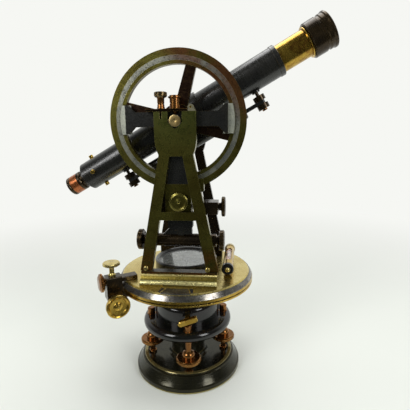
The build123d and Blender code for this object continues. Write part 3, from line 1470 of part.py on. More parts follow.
cell_back = draw_front - cell_overlap
cell_front = cell_back + cell_length
lens_front = cell_front - lens_setback
lens_back = lens_front - lens_thickness
with BuildPart() as objective_cell:
    with BuildSketch(along_sight()):
        with BuildLine():
            Polyline(
                (cell_back, draw_radius), (cell_back, cell_radius - 1), (cell_back + 1, cell_radius),
                (lens_back + 1, cell_radius), (lens_back + 2, cell_radius - 0.9),
                (lens_back + 4, cell_radius - 0.9), (lens_back + 5, cell_radius),
                (cell_front - 3.6, cell_radius), (cell_front - 2.4, cell_flare_radius),
                (cell_front - 0.6, cell_flare_radius),
                (cell_front, cell_flare_radius - 0.6), (cell_front, lens_radius + 2.2),
                (cell_front - 1.5, lens_radius), (lens_back, lens_radius), (lens_back, lens_radius - 1.2),
                (draw_front, lens_radius - 1.2), (draw_front, draw_radius), (cell_back, draw_radius))
        make_face()
    revolve(axis=sight_axis)
finish(objective_cell, "objective_cell")

lens_curve = (lens_radius**2 + lens_bulge**2) / (2 * lens_bulge)
lens_middle = lens_front + lens_bulge - lens_curve + sqrt(lens_curve**2 - lens_radius**2 / 4)
with BuildPart() as objective_lens:
    with BuildSketch(along_sight()):
        with BuildLine():
            ThreePointArc(
                (lens_front, lens_radius), (lens_middle, lens_radius / 2), (lens_front + lens_bulge, 0))
            Polyline(
                (lens_front + lens_bulge, 0), (lens_back, 0), (lens_back, lens_radius),
                (lens_front, lens_radius))
        make_face()
    revolve(axis=sight_axis)
finish(objective_lens, "objective_lens")


# Focusing pinion, with involute teeth that mesh with the rack
def tooth_half_angle(radius):
    base = pinion_pitch * cos(radians(pressure_angle))
    turn = sqrt(max(radius**2 / base**2 - 1, 0))
    at_pitch = (tooth_pitch - tooth_backlash) / (4 * pinion_pitch)
    return at_pitch + tan(radians(pressure_angle)) - radians(pressure_angle) - (turn - atan(turn))


base_radius = pinion_pitch * cos(radians(pressure_angle))
root_radius = pinion_pitch - tooth_dedendum
flank_radii = [base_radius + (pinion_tip - base_radius) * step / 6 for step in range(7)]
tooth_outline = [(root_radius, -tooth_half_angle(base_radius))]
tooth_outline += [(radius, -tooth_half_angle(radius)) for radius in flank_radii]
tooth_outline += [(radius, tooth_half_angle(radius)) for radius in reversed(flank_radii)]
tooth_outline += [(root_radius, tooth_half_angle(base_radius))]
pinion_outline = []
for tooth in range(pinion_teeth):
    middle = -pi / 2 + 2 * pi * tooth / pinion_teeth
    for radius, turn in tooth_outline:
        across = radius * cos(middle + turn)
        above = radius * sin(middle + turn)
        pinion_outline.append((rack_place + across, pinion_lift + above))
pinion_outline.append(pinion_outline[0])

with BuildPart() as focus_pinion:
    with BuildSketch(along_sight(-pinion_face_half)):
        with BuildLine():
            Polyline(pinion_outline)
        make_face()
    extrude(amount=-2 * pinion_face_half)
    with BuildSketch(along_sight(-box_half_y + 0.5)):
        with Locations((rack_place, pinion_lift)):
            Circle(pinion_shaft_radius)
    extrude(amount=-(box_half_y - 0.5 + focus_knob_y))
    with BuildSketch(along_sight(focus_knob_y)):
        with Locations((rack_place, pinion_lift)):
            Circle(focus_knob_radius)
            with PolarLocations(focus_knob_radius + 0.5, 18):
                Circle(1.0, mode=Mode.SUBTRACT)
    extrude(amount=-focus_knob_length)
finish(focus_pinion, "focus_pinion")

# Eyepiece in its sliding tube
shell_front = -tube_back - eye_boss_length - eyepiece_gap
eyepiece_end = eyepiece_shell_length - shell_front
eye_stop = -eyepiece_end + 2.5
with BuildPart() as eyepiece_tube:
    with BuildSketch(along_sight()):
        with BuildLine():
            Polyline(
                (-eyepiece_end, eye_hole_radius + 1.6), (-eyepiece_end, eyepiece_radius - 0.7),
                (-eyepiece_end + 0.7, eyepiece_radius), (-eyepiece_end + 2.6, eyepiece_radius),
                (-eyepiece_end + 3.1, eyepiece_radius - 0.5), (-eyepiece_end + 4, eyepiece_radius - 0.5),
                (-eyepiece_end + 4.5, eyepiece_radius), (shell_front - 1, eyepiece_radius),
                (shell_front, eyepiece_radius - 0.8), (shell_front, eyepiece_tube_radius),
                (shell_front + eyepiece_tube_length, eyepiece_tube_radius),
                (shell_front + eyepiece_tube_length, eyepiece_bore), (eye_stop, eyepiece_bore),
                (eye_stop, eye_hole_radius), (-eyepiece_end + 1.4, eye_hole_radius),
                (-eyepiece_end, eye_hole_radius + 1.6))
        make_face()
    revolve(axis=sight_axis)
finish(eyepiece_tube, "eyepiece_tube")

with BuildPart() as eyepiece_lens:
    with BuildSketch(across_sight(eye_stop)):
        Circle(eyepiece_bore)
    extrude(amount=eyepiece_lens_thickness)
finish(eyepiece_lens, "eyepiece_lens")
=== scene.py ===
from math import cos, pi, radians, sin

import bmesh
import bpy
from mathutils import Matrix, Vector


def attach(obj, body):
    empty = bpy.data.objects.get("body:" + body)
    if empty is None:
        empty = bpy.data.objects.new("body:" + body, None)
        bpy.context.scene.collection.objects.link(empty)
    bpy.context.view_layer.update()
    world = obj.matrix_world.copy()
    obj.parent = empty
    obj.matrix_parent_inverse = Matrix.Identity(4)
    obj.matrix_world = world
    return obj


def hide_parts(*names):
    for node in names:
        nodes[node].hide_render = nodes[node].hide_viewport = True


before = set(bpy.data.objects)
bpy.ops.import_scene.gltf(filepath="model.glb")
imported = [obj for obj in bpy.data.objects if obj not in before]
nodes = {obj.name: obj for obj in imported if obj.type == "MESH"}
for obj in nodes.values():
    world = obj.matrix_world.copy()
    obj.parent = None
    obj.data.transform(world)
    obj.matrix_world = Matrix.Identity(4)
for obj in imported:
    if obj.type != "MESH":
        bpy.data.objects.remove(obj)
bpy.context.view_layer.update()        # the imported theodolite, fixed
mm = 0.001

# The main lines of the instrument, in millimetres
layout = {
    "trunnion": 292.95,
    "tilt": 29.4,
    "sightLift": 3.4,
    "deckTop": 123.95,
    "circleFace": 34.1,
    "sideAngle": -146.0,
    "firstScrew": -80.4,
}
trunnion = Vector((0, 0, layout["trunnion"]))
sight = Vector((cos(radians(layout["tilt"])), 0, sin(radians(layout["tilt"]))))
sightUp = Vector((-sight.z, 0, sight.x))
sightCentre = trunnion + sightUp * layout["sightLift"]    # the tube lies a little over the trunnion axis
toFront = Vector((0, -1, 0))
upward = Vector((0, 0, 1))


# Camera, matched to the photograph
shot = {"place": (0.065711, -0.389601, 0.278553), "yaw": 0.108, "pitch": 0.198, "roll": -0.013,
        "lens": 30.44}


def makeCamera():
    ahead = Vector((-sin(shot["yaw"]) * cos(shot["pitch"]), cos(shot["yaw"]) * cos(shot["pitch"]),
                    -sin(shot["pitch"])))
    right = Vector((cos(shot["yaw"]), sin(shot["yaw"]), 0))
    up = right.cross(ahead)
    rolledRight = right * cos(shot["roll"]) + up * sin(shot["roll"])
    rolledUp = up * cos(shot["roll"]) - right * sin(shot["roll"])
    lens = bpy.data.cameras.new("studioCamera")
    lens.lens = shot["lens"]
    lens.sensor_width = 36
    lens.clip_start = 0.01
    lens.clip_end = 50
    camera = bpy.data.objects.new("studioCamera", lens)
    bpy.context.scene.collection.objects.link(camera)
    camera.matrix_world = (Matrix.Translation(shot["place"])
                           @ Matrix((rolledRight, rolledUp, -ahead)).transposed().to_4x4())
    bpy.context.scene.camera = camera


makeCamera()
bpy.context.scene.view_settings.view_transform = "Standard"
print("camera placed")


# Shader helpers
def tone(red, green, blue):    # a colour as seen on screen, 0 to 255, as the shader's linear value
    linear = [((v / 255 + 0.055) / 1.055) ** 2.4 if v > 10 else v / 255 / 12.92 for v in (red, green, blue)]
    return (*linear, 1)


def addNode(tree, kind, **settings):
    made = tree.nodes.new(kind)
    for name, value in settings.items():
        setattr(made, name, value)
    return made


def feed(tree, socket, value):
    if isinstance(value, bpy.types.NodeSocket):
        tree.links.new(value, socket)
    else:
        socket.default_value = value


def calc(tree, operation, first, second=0.0, clamp=False):
    made = addNode(tree, "ShaderNodeMath", operation=operation, use_clamp=clamp)
    feed(tree, made.inputs[0], first)
    feed(tree, made.inputs[1], second)
    return made.outputs[0]


def fade(tree, value, low, high, start=0.0, end=1.0):    # a smooth step between two levels
    made = addNode(tree, "ShaderNodeMapRange", interpolation_type="SMOOTHSTEP")
    for socket, number in zip(made.inputs, (value, low, high, start, end)):
        feed(tree, socket, number)
    return made.outputs[0]


def blend(tree, share, first, second):
    made = addNode(tree, "ShaderNodeMix", data_type="RGBA")
    feed(tree, made.inputs[0], share)
    feed(tree, made.inputs[6], first)
    feed(tree, made.inputs[7], second)
    return made.outputs[2]


def grain(tree, place, scale, detail=4.0, rough=0.55, distortion=0.0):
    made = addNode(tree, "ShaderNodeTexNoise")
    feed(tree, made.inputs["Vector"], place)
    made.inputs["Scale"].default_value = scale
    made.inputs["Detail"].default_value = detail
    made.inputs["Roughness"].default_value = rough
    made.inputs["Distortion"].default_value = distortion
    return made.outputs["Fac"]


def moved(tree, place, centre=(0, 0, 0), turn=(0, 0, 0), scale=(1, 1, 1)):
    made = addNode(tree, "ShaderNodeMapping", vector_type="TEXTURE")
    feed(tree, made.inputs["Vector"], place)
    made.inputs["Location"].default_value = [v * mm for v in centre]
    made.inputs["Rotation"].default_value = turn
    made.inputs["Scale"].default_value = scale
    return made.outputs[0]


def along(tree, place, direction):    # how far a point lies along a direction, in millimetres
    made = addNode(tree, "ShaderNodeVectorMath", operation="DOT_PRODUCT")
    feed(tree, made.inputs[0], place)
    made.inputs[1].default_value = [v / mm for v in direction]
    return made.outputs["Value"]


def fromAxis(tree, place, centre, axis):    # distance of a point from an axis, in millimetres
    shifted = addNode(tree, "ShaderNodeVectorMath", operation="SUBTRACT")
    feed(tree, shifted.inputs[0], place)
    shifted.inputs[1].default_value = [v * mm for v in centre]
    crossed = addNode(tree, "ShaderNodeVectorMath", operation="CROSS_PRODUCT")
    feed(tree, crossed.inputs[0], shifted.outputs[0])
    crossed.inputs[1].default_value = [v / mm for v in axis]
    length = addNode(tree, "ShaderNodeVectorMath", operation="LENGTH")
    feed(tree, length.inputs[0], crossed.outputs[0])
    return length.outputs["Value"]


def wornEdges(tree, reach):    # 1 on sharp edges, 0 on flats and broad curves: where edges get a tone that is partly wear and partly a painted highlight for the rounding the solids lack
    rounded = addNode(tree, "ShaderNodeBevel", samples=4)
    rounded.inputs["Radius"].default_value = reach * mm
    flat = addNode(tree, "ShaderNodeNewGeometry")
    likeness = addNode(tree, "ShaderNodeVectorMath", operation="DOT_PRODUCT")
    feed(tree, likeness.inputs[0], rounded.outputs[0])
    feed(tree, likeness.inputs[1], flat.outputs["Normal"])
    return fade(tree, likeness.outputs["Value"], 0.985, 0.86)


# Finishes: a tone, a second tone in clouds, a stain in small mottles, bright specks, and bright edges that
# are partly wear and partly a painted highlight standing in for light caught by rounded edges
finishes = {
    "blackLacquer": {
        "tone": tone(15, 15, 14), "cloud": tone(24, 23, 19), "stain": tone(9, 9, 9),
        "wearAndHighlightTone": tone(120, 100, 52), "speck": tone(88, 74, 44), "metal": 0.0, "rough": (0.24, 0.38),
        "edge": 0.35, "stainShare": 0.5, "speckFrom": 0.74, "coat": 0.3, "bump": 0.08, "cloudScale": 45,
        "mottleScale": 420},
    "darkBronze": {
        "tone": tone(62, 50, 32), "cloud": tone(42, 34, 24), "stain": tone(26, 22, 17),
        "wearAndHighlightTone": tone(150, 122, 64), "speck": tone(104, 78, 42), "metal": 0.85, "rough": (0.2, 0.36),
        "edge": 0.5, "stainShare": 0.5, "speckFrom": 0.72, "coat": 0.15, "bump": 0.1, "cloudScale": 40,
        "mottleScale": 300},
    "oliveBrass": {
        "tone": tone(118, 113, 52), "cloud": tone(96, 88, 36), "stain": tone(70, 58, 24),
        "wearAndHighlightTone": tone(224, 210, 140), "speck": tone(54, 44, 22), "metal": 0.95, "rough": (0.24, 0.38),
        "edge": 0.85, "stainShare": 0.4, "speckFrom": 0.7, "coat": 0.1, "bump": 0.08, "cloudScale": 34,
        "mottleScale": 240},
    "paleBrass": {
        "tone": tone(206, 188, 118), "cloud": tone(188, 166, 90), "stain": tone(146, 122, 58),
        "wearAndHighlightTone": tone(246, 236, 190), "speck": tone(104, 84, 40), "metal": 0.95, "rough": (0.18, 0.34),
        "edge": 0.7, "stainShare": 0.3, "speckFrom": 0.72, "coat": 0.1, "bump": 0.05, "cloudScale": 30,
        "mottleScale": 240},
    "brightBrass": {
        "tone": tone(194, 162, 72), "cloud": tone(168, 134, 52), "stain": tone(104, 76, 32),
        "wearAndHighlightTone": tone(250, 232, 158), "speck": tone(74, 50, 22), "metal": 0.97, "rough": (0.15, 0.3),
        "edge": 0.7, "stainShare": 0.35, "speckFrom": 0.72, "coat": 0.1, "bump": 0.06, "cloudScale": 50,
        "mottleScale": 300},
    "copperBrass": {
        "tone": tone(146, 98, 50), "cloud": tone(110, 72, 34), "stain": tone(54, 39, 24),
        "wearAndHighlightTone": tone(228, 184, 106), "speck": tone(40, 28, 18), "metal": 0.95, "rough": (0.18, 0.32),
        "edge": 0.6, "stainShare": 0.45, "speckFrom": 0.7, "coat": 0.15, "bump": 0.08, "cloudScale": 60,
        "mottleScale": 340},
    "silver": {
        "tone": tone(176, 176, 160), "cloud": tone(140, 142, 134), "stain": tone(98, 102, 110),
        "wearAndHighlightTone": tone(232, 230, 214), "speck": tone(74, 74, 74), "metal": 0.9, "rough": (0.24, 0.42),
        "edge": 0.4, "stainShare": 0.5, "speckFrom": 0.7, "coat": 0.0, "bump": 0.05, "cloudScale": 55,
        "mottleScale": 360},
    "glossBlack": {
        "tone": tone(14, 15, 12), "cloud": tone(25, 21, 22), "stain": tone(10, 10, 9),
        "wearAndHighlightTone": tone(120, 104, 60), "speck": tone(60, 54, 38), "metal": 0.0, "rough": (0.1, 0.2),
        "edge": 0.2, "stainShare": 0.5, "speckFrom": 0.78, "coat": 0.0, "bump": 0.03, "cloudScale": 40,
        "mottleScale": 300},
    "footBronze": {
        "tone": tone(52, 50, 36), "cloud": tone(38, 37, 27), "stain": tone(25, 24, 18),
        "wearAndHighlightTone": tone(150, 138, 84), "speck": tone(78, 70, 44), "metal": 0.7, "rough": (0.13, 0.26),
        "edge": 0.45, "stainShare": 0.5, "speckFrom": 0.76, "coat": 0.1, "bump": 0.05, "cloudScale": 36,
        "mottleScale": 260},
    "dullSilver": {
        "tone": tone(150, 146, 136), "cloud": tone(112, 108, 104), "stain": tone(72, 70, 76),
        "wearAndHighlightTone": tone(226, 220, 196), "speck": tone(60, 58, 58), "metal": 0.92, "rough": (0.15, 0.3),
        "edge": 0.4, "stainShare": 0.6, "speckFrom": 0.72, "coat": 0.0, "bump": 0.04, "cloudScale": 70,
        "mottleScale": 300},
    "scaleSilver": {
        "tone": tone(226, 228, 210), "cloud": tone(200, 203, 190), "stain": tone(150, 152, 150),
        "wearAndHighlightTone": tone(240, 240, 224), "speck": tone(96, 96, 96), "metal": 0.8, "rough": (0.28, 0.42),
        "edge": 0.3, "stainShare": 0.4, "speckFrom": 0.72, "coat": 0.0, "bump": 0.04, "cloudScale": 80,
        "mottleScale": 500},
    "bluedSteel": {
        "tone": tone(46, 56, 86), "cloud": tone(34, 40, 66), "stain": tone(24, 26, 40),
        "wearAndHighlightTone": tone(140, 146, 160), "speck": tone(96, 98, 110), "metal": 0.9, "rough": (0.2, 0.35),
        "edge": 0.5, "stainShare": 0.4, "speckFrom": 0.75, "coat": 0.1, "bump": 0.05, "cloudScale": 90,
        "mottleScale": 500},
}


def makeFinish(name, look, zones=None, turned=None):
    material = bpy.data.materials.new(name)
    material.use_nodes = True
    tree = material.node_tree
    shader = tree.nodes["Principled BSDF"]
    place = addNode(tree, "ShaderNodeTexCoord").outputs["Object"]
    cloud = fade(tree, grain(tree, place, look["cloudScale"], 3), 0.35, 0.68)
    mottle = grain(tree, place, look["mottleScale"], 6, 0.62, 0.6)
    colour = blend(tree, cloud, look["tone"], look["cloud"])
    rough = fade(tree, mottle, 0.3, 0.75, look["rough"][0], look["rough"][1])
    if zones:
        colour = zones(tree, place, colour)
    stained = calc(tree, "MULTIPLY", fade(tree, mottle, 0.48, 0.68), look["stainShare"])
    colour = blend(tree, stained, colour, look["stain"])
    specks = fade(tree, grain(tree, place, 1700, 2, 0.5), look["speckFrom"], look["speckFrom"] + 0.05)
    colour = blend(tree, calc(tree, "MULTIPLY", specks, 0.7), colour, look["speck"])
    patches = fade(tree, grain(tree, place, 160, 5, 0.6), 0.3, 0.6)
    # bright edges: partly worn brass, partly a painted highlight in place of the light that rounded edges
    # would catch
    edges = calc(tree, "MULTIPLY", calc(tree, "MULTIPLY", wornEdges(tree, 0.5), patches), look["edge"])
    feed(tree, shader.inputs["Base Color"], blend(tree, edges, colour, look["wearAndHighlightTone"]))
    metal = calc(tree, "ADD", calc(tree, "MULTIPLY", edges, 1 - look["metal"]), look["metal"], clamp=True)
    feed(tree, shader.inputs["Metallic"], metal)
    height = mottle
    if turned:    # fine rings left by the lathe, round the piece's own axis
        centre, axis, pitch = turned
        radius = fromAxis(tree, place, centre, axis)
        lathePoint = addNode(tree, "ShaderNodeCombineXYZ")
        feed(tree, lathePoint.inputs[0], radius)
        feed(tree, lathePoint.inputs[1], along(tree, place, axis))
        rings = grain(tree, lathePoint.outputs[0], pitch, 3, 0.6)
        height = calc(tree, "ADD", calc(tree, "MULTIPLY", mottle, 0.5), rings)
        rough = calc(tree, "ADD", rough, fade(tree, rings, 0.3, 0.7, -0.05, 0.07), clamp=True)
    feed(tree, shader.inputs["Roughness"], rough)
    shader.inputs["Coat Weight"].default_value = look["coat"]
    shader.inputs["Coat Roughness"].default_value = 0.12
    bump = addNode(tree, "ShaderNodeBump")
    bump.inputs["Strength"].default_value = look["bump"]
    bump.inputs["Distance"].default_value = 0.0004
    feed(tree, bump.inputs["Height"], height)
    feed(tree, shader.inputs["Normal"], bump.outputs[0])
    return material


def makeGlass(name, colour, rough, alpha=1.0, through=0.9):
    material = bpy.data.materials.new(name)
    material.use_nodes = True
    tree = material.node_tree
    shader = tree.nodes["Principled BSDF"]
    place = addNode(tree, "ShaderNodeTexCoord").outputs["Object"]
    film = fade(tree, grain(tree, place, 120, 5, 0.6), 0.45, 0.8)    # dust and finger grease
    feed(tree, shader.inputs["Base Color"], blend(tree, film, colour, tone(214, 216, 210)))
    feed(tree, shader.inputs["Roughness"], fade(tree, film, 0, 1, rough, rough + 0.22))
    shader.inputs["Transmission Weight"].default_value = through
    shader.inputs["IOR"].default_value = 1.5
    shader.inputs["Alpha"].default_value = alpha
    return material


def heightBands(tree, place, colour, axis, bands):    # lays other tones between two levels along an axis
    level = along(tree, place, axis)
    for low, high, other in bands:
        share = calc(tree, "MULTIPLY", fade(tree, level, low - 0.15, low + 0.15),
                     fade(tree, level, high + 0.15, high - 0.15))
        colour = blend(tree, share, colour, other)
    return colour


def thumbZones(tree, place, colour):    # the head has gone grey-brown, its stem is still coppery
    return heightBands(tree, place, colour, (0, 0, 1), [(315.0, 330.0, tone(88, 80, 60)),
                                                        (300.0, 304.8, tone(70, 50, 34))])


palette = {name: makeFinish(name, look) for name, look in finishes.items()}
palette["thumbCopper"] = makeFinish("thumbCopper", finishes["copperBrass"], thumbZones)
palette["clearGlass"] = makeGlass("clearGlass", tone(236, 240, 238), 0.04)
palette["vialGlass"] = makeGlass("vialGlass", tone(240, 230, 226), 0.06)


def plainLook(name, colour, rough, metal=0.0, light=None):    # paint, wax and paper
    material = bpy.data.materials.new(name)
    material.use_nodes = True
    tree = material.node_tree
    shader = tree.nodes["Principled BSDF"]
    place = addNode(tree, "ShaderNodeTexCoord").outputs["Object"]
    patch = fade(tree, grain(tree, place, 700, 4, 0.6), 0.35, 0.7)
    light = light or [v * 0.72 for v in colour[:3]] + [1]
    feed(tree, shader.inputs["Base Color"], blend(tree, patch, colour, light))
    feed(tree, shader.inputs["Roughness"], fade(tree, patch, 0, 1, rough, rough + 0.15))
    shader.inputs["Metallic"].default_value = metal
    return material


palette["pivotBrass"] = makeFinish("pivotBrass", {**finishes["paleBrass"], "tone": tone(196, 172, 118),
                                                  "cloud": tone(160, 134, 84), "speck": tone(58, 44, 26),
                                                  "speckFrom": 0.62, "rough": (0.3, 0.5)})
palette["blackWax"] = plainLook("blackWax", tone(26, 24, 24), 0.5)
# painted shade: a near-black for flat sheets laid on the deck where the vernier windows' recesses would be
# shaded
palette["paintedShade"] = plainLook("paintedShade", tone(16, 15, 15), 0.7)
palette["pinkSpirit"] = plainLook("pinkSpirit", tone(226, 196, 190), 0.15, light=tone(238, 224, 216))
palette["bubbleLight"] = plainLook("bubbleLight", tone(248, 244, 238), 0.1, light=tone(230, 226, 220))
print("finishes made")


# Mesh helpers, in millimetres
def aim(origin, axis, side=None):    # a frame at origin with local z along axis
    axis = Vector(axis).normalized()
    side = Vector(side) if side else (upward.cross(axis) if abs(axis.z) < 0.9 else Vector((1, 0, 0)))
    side = (side - axis * side.dot(axis)).normalized()
    turn = Matrix((side, axis.cross(side), axis)).transposed().to_4x4()
    return Matrix.Translation(Vector(origin)) @ turn


def settle(bm, name, look, body, smooth=38, replaced=(), turn=True):
    if turn:
        bmesh.ops.recalc_face_normals(bm, faces=bm.faces[:])
    bmesh.ops.transform(bm, matrix=Matrix.Scale(mm, 4), verts=bm.verts[:])
    mesh = bpy.data.meshes.new(name)
    bm.to_mesh(mesh)
    bm.free()
    for face in mesh.polygons:
        face.use_smooth = True
    mesh.set_sharp_from_angle(angle=radians(smooth))
    piece = bpy.data.objects.new(name, mesh)
    bpy.context.scene.collection.objects.link(piece)
    mesh.materials.append(palette[look])
    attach(piece, body)
    if replaced:
        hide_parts(*replaced)
    return piece


def lathe(bm, profile, matrix, steps=64):    # profile: (radius, height) pairs, turned round local z
    made = [bm.verts.new((radius, 0, height)) for radius, height in profile]
    edges = [bm.edges.new(pair) for pair in zip(made, made[1:])]
    bmesh.ops.spin(bm, geom=made + edges, cent=(0, 0, 0), axis=(0, 0, 1), angle=2 * pi, steps=steps,
                   use_merge=True)
    verts = connected(made)
    bmesh.ops.remove_doubles(bm, verts=verts, dist=0.001)
    verts = [v for v in verts if v.is_valid]
    bmesh.ops.transform(bm, matrix=matrix, verts=verts)
    return verts


def connected(start):    # every vertex joined to these
    seen = set(start)
    waiting = list(start)
    while waiting:
        for edge in waiting.pop().link_edges:
            for vert in edge.verts:
                if vert not in seen:
                    seen.add(vert)
                    waiting.append(vert)
    return list(seen)


def mill(bm, verts, matrix, radius, low, high, inset=0.16, depth=0.3):    # straight knurls on a rim
    back = matrix.inverted()
    rim = []
    for face in {f for v in verts for f in v.link_faces}:
        middle = back @ face.calc_center_median()
        if low < middle.z < high and abs(Vector((middle.x, middle.y)).length - radius) < 0.12 * radius:
            normal = (matrix.to_3x3().inverted() @ face.normal)
            if abs(normal.z) < 0.3:
                rim.append(face)
    bmesh.ops.recalc_face_normals(bm, faces=list({f for v in verts for f in v.link_faces}))
    bmesh.ops.inset_individual(bm, faces=rim, thickness=inset, depth=depth)


def bar(bm, matrix, size, round=0.0, segments=2):    # a block with eased edges, centred on the frame
    made = bmesh.ops.create_cube(bm, size=1.0)["verts"]
    bmesh.ops.transform(bm, matrix=matrix @ Matrix.Diagonal((*size, 1)), verts=made)
    if round:
        edges = list({e for v in made for e in v.link_edges})
        bmesh.ops.bevel(bm, geom=edges, offset=round, affect="EDGES", segments=segments, profile=0.5,
                        material=-1)


def slotted(bm, matrix, radius, height, slot=0.5, depth=0.6, dome=0.3):    # a screw head with its slot
    made = bmesh.ops.create_circle(bm, cap_ends=True, segments=24, radius=radius)["verts"]
    base = [f for f in made[0].link_faces if len(f.verts) > 4]
    lifted = bmesh.ops.extrude_face_region(bm, geom=base)["geom"]
    top = [v for v in lifted if isinstance(v, bmesh.types.BMVert)]
    bmesh.ops.translate(bm, vec=(0, 0, height), verts=top)
    rim = [e for e in {e for v in top for e in v.link_edges} if all(v in top for v in e.verts)]
    bmesh.ops.bevel(bm, geom=rim, offset=dome, affect="EDGES", segments=3, profile=0.5, material=-1)
    verts = connected([top[0]] if top[0].is_valid else made)
    for side in (-1, 1):
        near = connected([v for v in verts if v.is_valid][:1])
        geom = near + list({e for v in near for e in v.link_edges})
        geom += list({f for v in near for f in v.link_faces})
        bmesh.ops.bisect_plane(bm, geom=geom, plane_co=(side * slot, 0, 0), plane_no=(1, 0, 0))
    near = connected([v for v in verts if v.is_valid][:1])
    groove = [f for f in {f for v in near for f in v.link_faces}
              if abs(f.calc_center_median().x) < slot and f.calc_center_median().z > height - 0.02]
    sunk = bmesh.ops.extrude_face_region(bm, geom=groove)["geom"]
    bmesh.ops.translate(bm, vec=(0, 0, -depth), verts=[v for v in sunk if isinstance(v, bmesh.types.BMVert)])
    bmesh.ops.delete(bm, geom=[f for f in groove if f.is_valid], context="FACES")
    bmesh.ops.transform(bm, matrix=matrix, verts=connected([v for v in near if v.is_valid][:1]))


def writing(bm, text, size, matrix):    # figures engraved on a scale, as a thin layer of wax
    curve = bpy.data.curves.new("figure", "FONT")
    curve.body = text
    curve.size = size
    curve.align_x = "CENTER"
    curve.align_y = "CENTER"
    curve.extrude = 0.012
    curve.resolution_u = 2
    holder = bpy.data.objects.new("figure", curve)
    bpy.context.scene.collection.objects.link(holder)
    mesh = bpy.data.meshes.new_from_object(holder.evaluated_get(bpy.context.evaluated_depsgraph_get()))
    before = len(bm.verts)
    bm.from_mesh(mesh)
    bm.verts.ensure_lookup_table()
    bmesh.ops.transform(bm, matrix=matrix, verts=bm.verts[before:])
    bpy.data.objects.remove(holder)
    bpy.data.meshes.remove(mesh)


def polar(angle, radius, height):
    return Vector((radius * cos(radians(angle)), radius * sin(radians(angle)), height))


# Milled screws and knobs, each in the place of its plain solid
capScrew = {"x": -13.8, "y": 44.55, "teeth": 54, "stem": 3.5, "head": 6.4}


def makeCapScrew(name, body, side):
    bm = bmesh.new()
    frameHere = aim((capScrew["x"], side * capScrew["y"], 0), upward)
    stem, head = capScrew["stem"], capScrew["head"]
    verts = lathe(bm, [(0, 300.55), (1.7, 300.55), (2.2, 301.05), (2.2, 304.85), (stem + 0.4, 304.85),
                       (stem + 0.4, 305.85), (stem, 306.4), (stem, 308.6), (stem - 0.4, 309.0),
                       (stem - 0.4, 309.5), (stem, 309.9), (stem, 314.2), (stem + 0.8, 315.25),
                       (head - 1.0, 315.4), (head - 0.25, 316.5), (head - 0.25, 320.0),
                       (head - 0.9, 320.5), (head - 1.8, 320.65), (2.4, 320.3), (0, 320.2)],
                  frameHere, capScrew["teeth"])
    mill(bm, verts, frameHere, head - 0.25, 316.6, 319.9, 0.14, 0.24)
    settle(bm, name + "_milled", "thumbCopper", body, replaced=(name,))


makeCapScrew("front_cap_thumbscrew", "front_thumbscrew", -1)
makeCapScrew("rear_cap_thumbscrew", "rear_thumbscrew", 1)

circleClamp = {"x": 1.5, "z": 212.15, "radius": 9.6, "teeth": 72}


def makeCircleClamp():
    bm = bmesh.new()
    here = aim((circleClamp["x"], 0, circleClamp["z"]), toFront)
    rim = circleClamp["radius"]
    verts = lathe(bm, [(0, 35.05), (2.6, 35.05), (2.6, 43.6), (4.4, 44.3), (rim - 0.9, 44.8),
                       (rim - 0.25, 45.3), (rim - 0.25, 47.9), (rim - 1.0, 48.5), (rim - 2.0, 48.8),
                       (rim - 3.2, 48.3), (3.4, 48.1), (2.6, 48.5), (1.6, 48.6), (0.9, 48.1),
                       (0, 48.0)], here, circleClamp["teeth"])
    mill(bm, verts, here, rim - 0.25, 45.4, 47.8, 0.14, 0.24)
    settle(bm, "circle_clamp_head", "oliveBrass", "circle_clamp", replaced=("circle_clamp_screw",))


makeCircleClamp()

tangentKnob = {"y": -30.0, "z": 204.45, "radius": 10.6, "teeth": 80}


def makeVerticalTangent():
    bm = bmesh.new()
    here = aim((0, tangentKnob["y"], tangentKnob["z"]), (1, 0, 0))
    rim = tangentKnob["radius"]
    verts = lathe(bm, [(0, 13.85), (2.0, 13.85), (2.6, 14.45), (2.6, 41.35), (4.2, 41.35), (4.2, 43.6),
                       (5.2, 44.3), (rim - 0.9, 44.5), (rim - 0.25, 45.1), (rim - 0.25, 47.9),
                       (rim - 0.9, 48.5), (rim - 2.2, 48.4), (4.6, 47.6), (3.8, 47.9), (3.0, 48.4),
                       (0, 48.5)], here, tangentKnob["teeth"])
    mill(bm, verts, here, rim - 0.25, 45.2, 47.8, 0.14, 0.24)
    settle(bm, "vertical_tangent_knob", "darkBronze", "vertical_tangent",
           replaced=("vertical_tangent_screw",))


makeVerticalTangent()

clipKnob = {"y": -29.5, "z": 166.95, "radius": 11.2, "teeth": 80, "neck": 38.85}


def makeClipScrew(name, body, side):
    bm = bmesh.new()
    here = aim((0, clipKnob["y"], clipKnob["z"]), (side, 0, 0))
    rim, neck = clipKnob["radius"], clipKnob["neck"]
    verts = lathe(bm, [(0, 3.35), (3.2, 3.35), (4.0, 4.15), (4.0, neck), (5.0, neck), (5.0, neck + 1.6),
                       (6.4, neck + 2.6), (rim - 1.2, neck + 2.7), (rim - 0.25, neck + 3.5),
                       (rim - 0.25, neck + 7.8), (rim - 1.2, neck + 8.5), (rim - 3.0, neck + 8.2),
                       (4.4, neck + 7.4), (3.0, neck + 8.0), (0, neck + 8.6)], here, clipKnob["teeth"])
    mill(bm, verts, here, rim - 0.25, neck + 3.6, neck + 7.7, 0.14, 0.24)
    settle(bm, name + "_milled", "darkBronze", body, replaced=(name,))


makeClipScrew("clip_screw_left", "clip_left", -1)
makeClipScrew("clip_screw_right", "clip_right", 1)

sideScrews = {"place": 88.5, "wing": 9.2, "dish": 12.7, "ball": 10.0}
sideOut = polar(layout["sideAngle"], 1, 0)
sideAcross = Vector((-sideOut.y, sideOut.x, 0))
sideFoot = sideOut * sideScrews["place"]


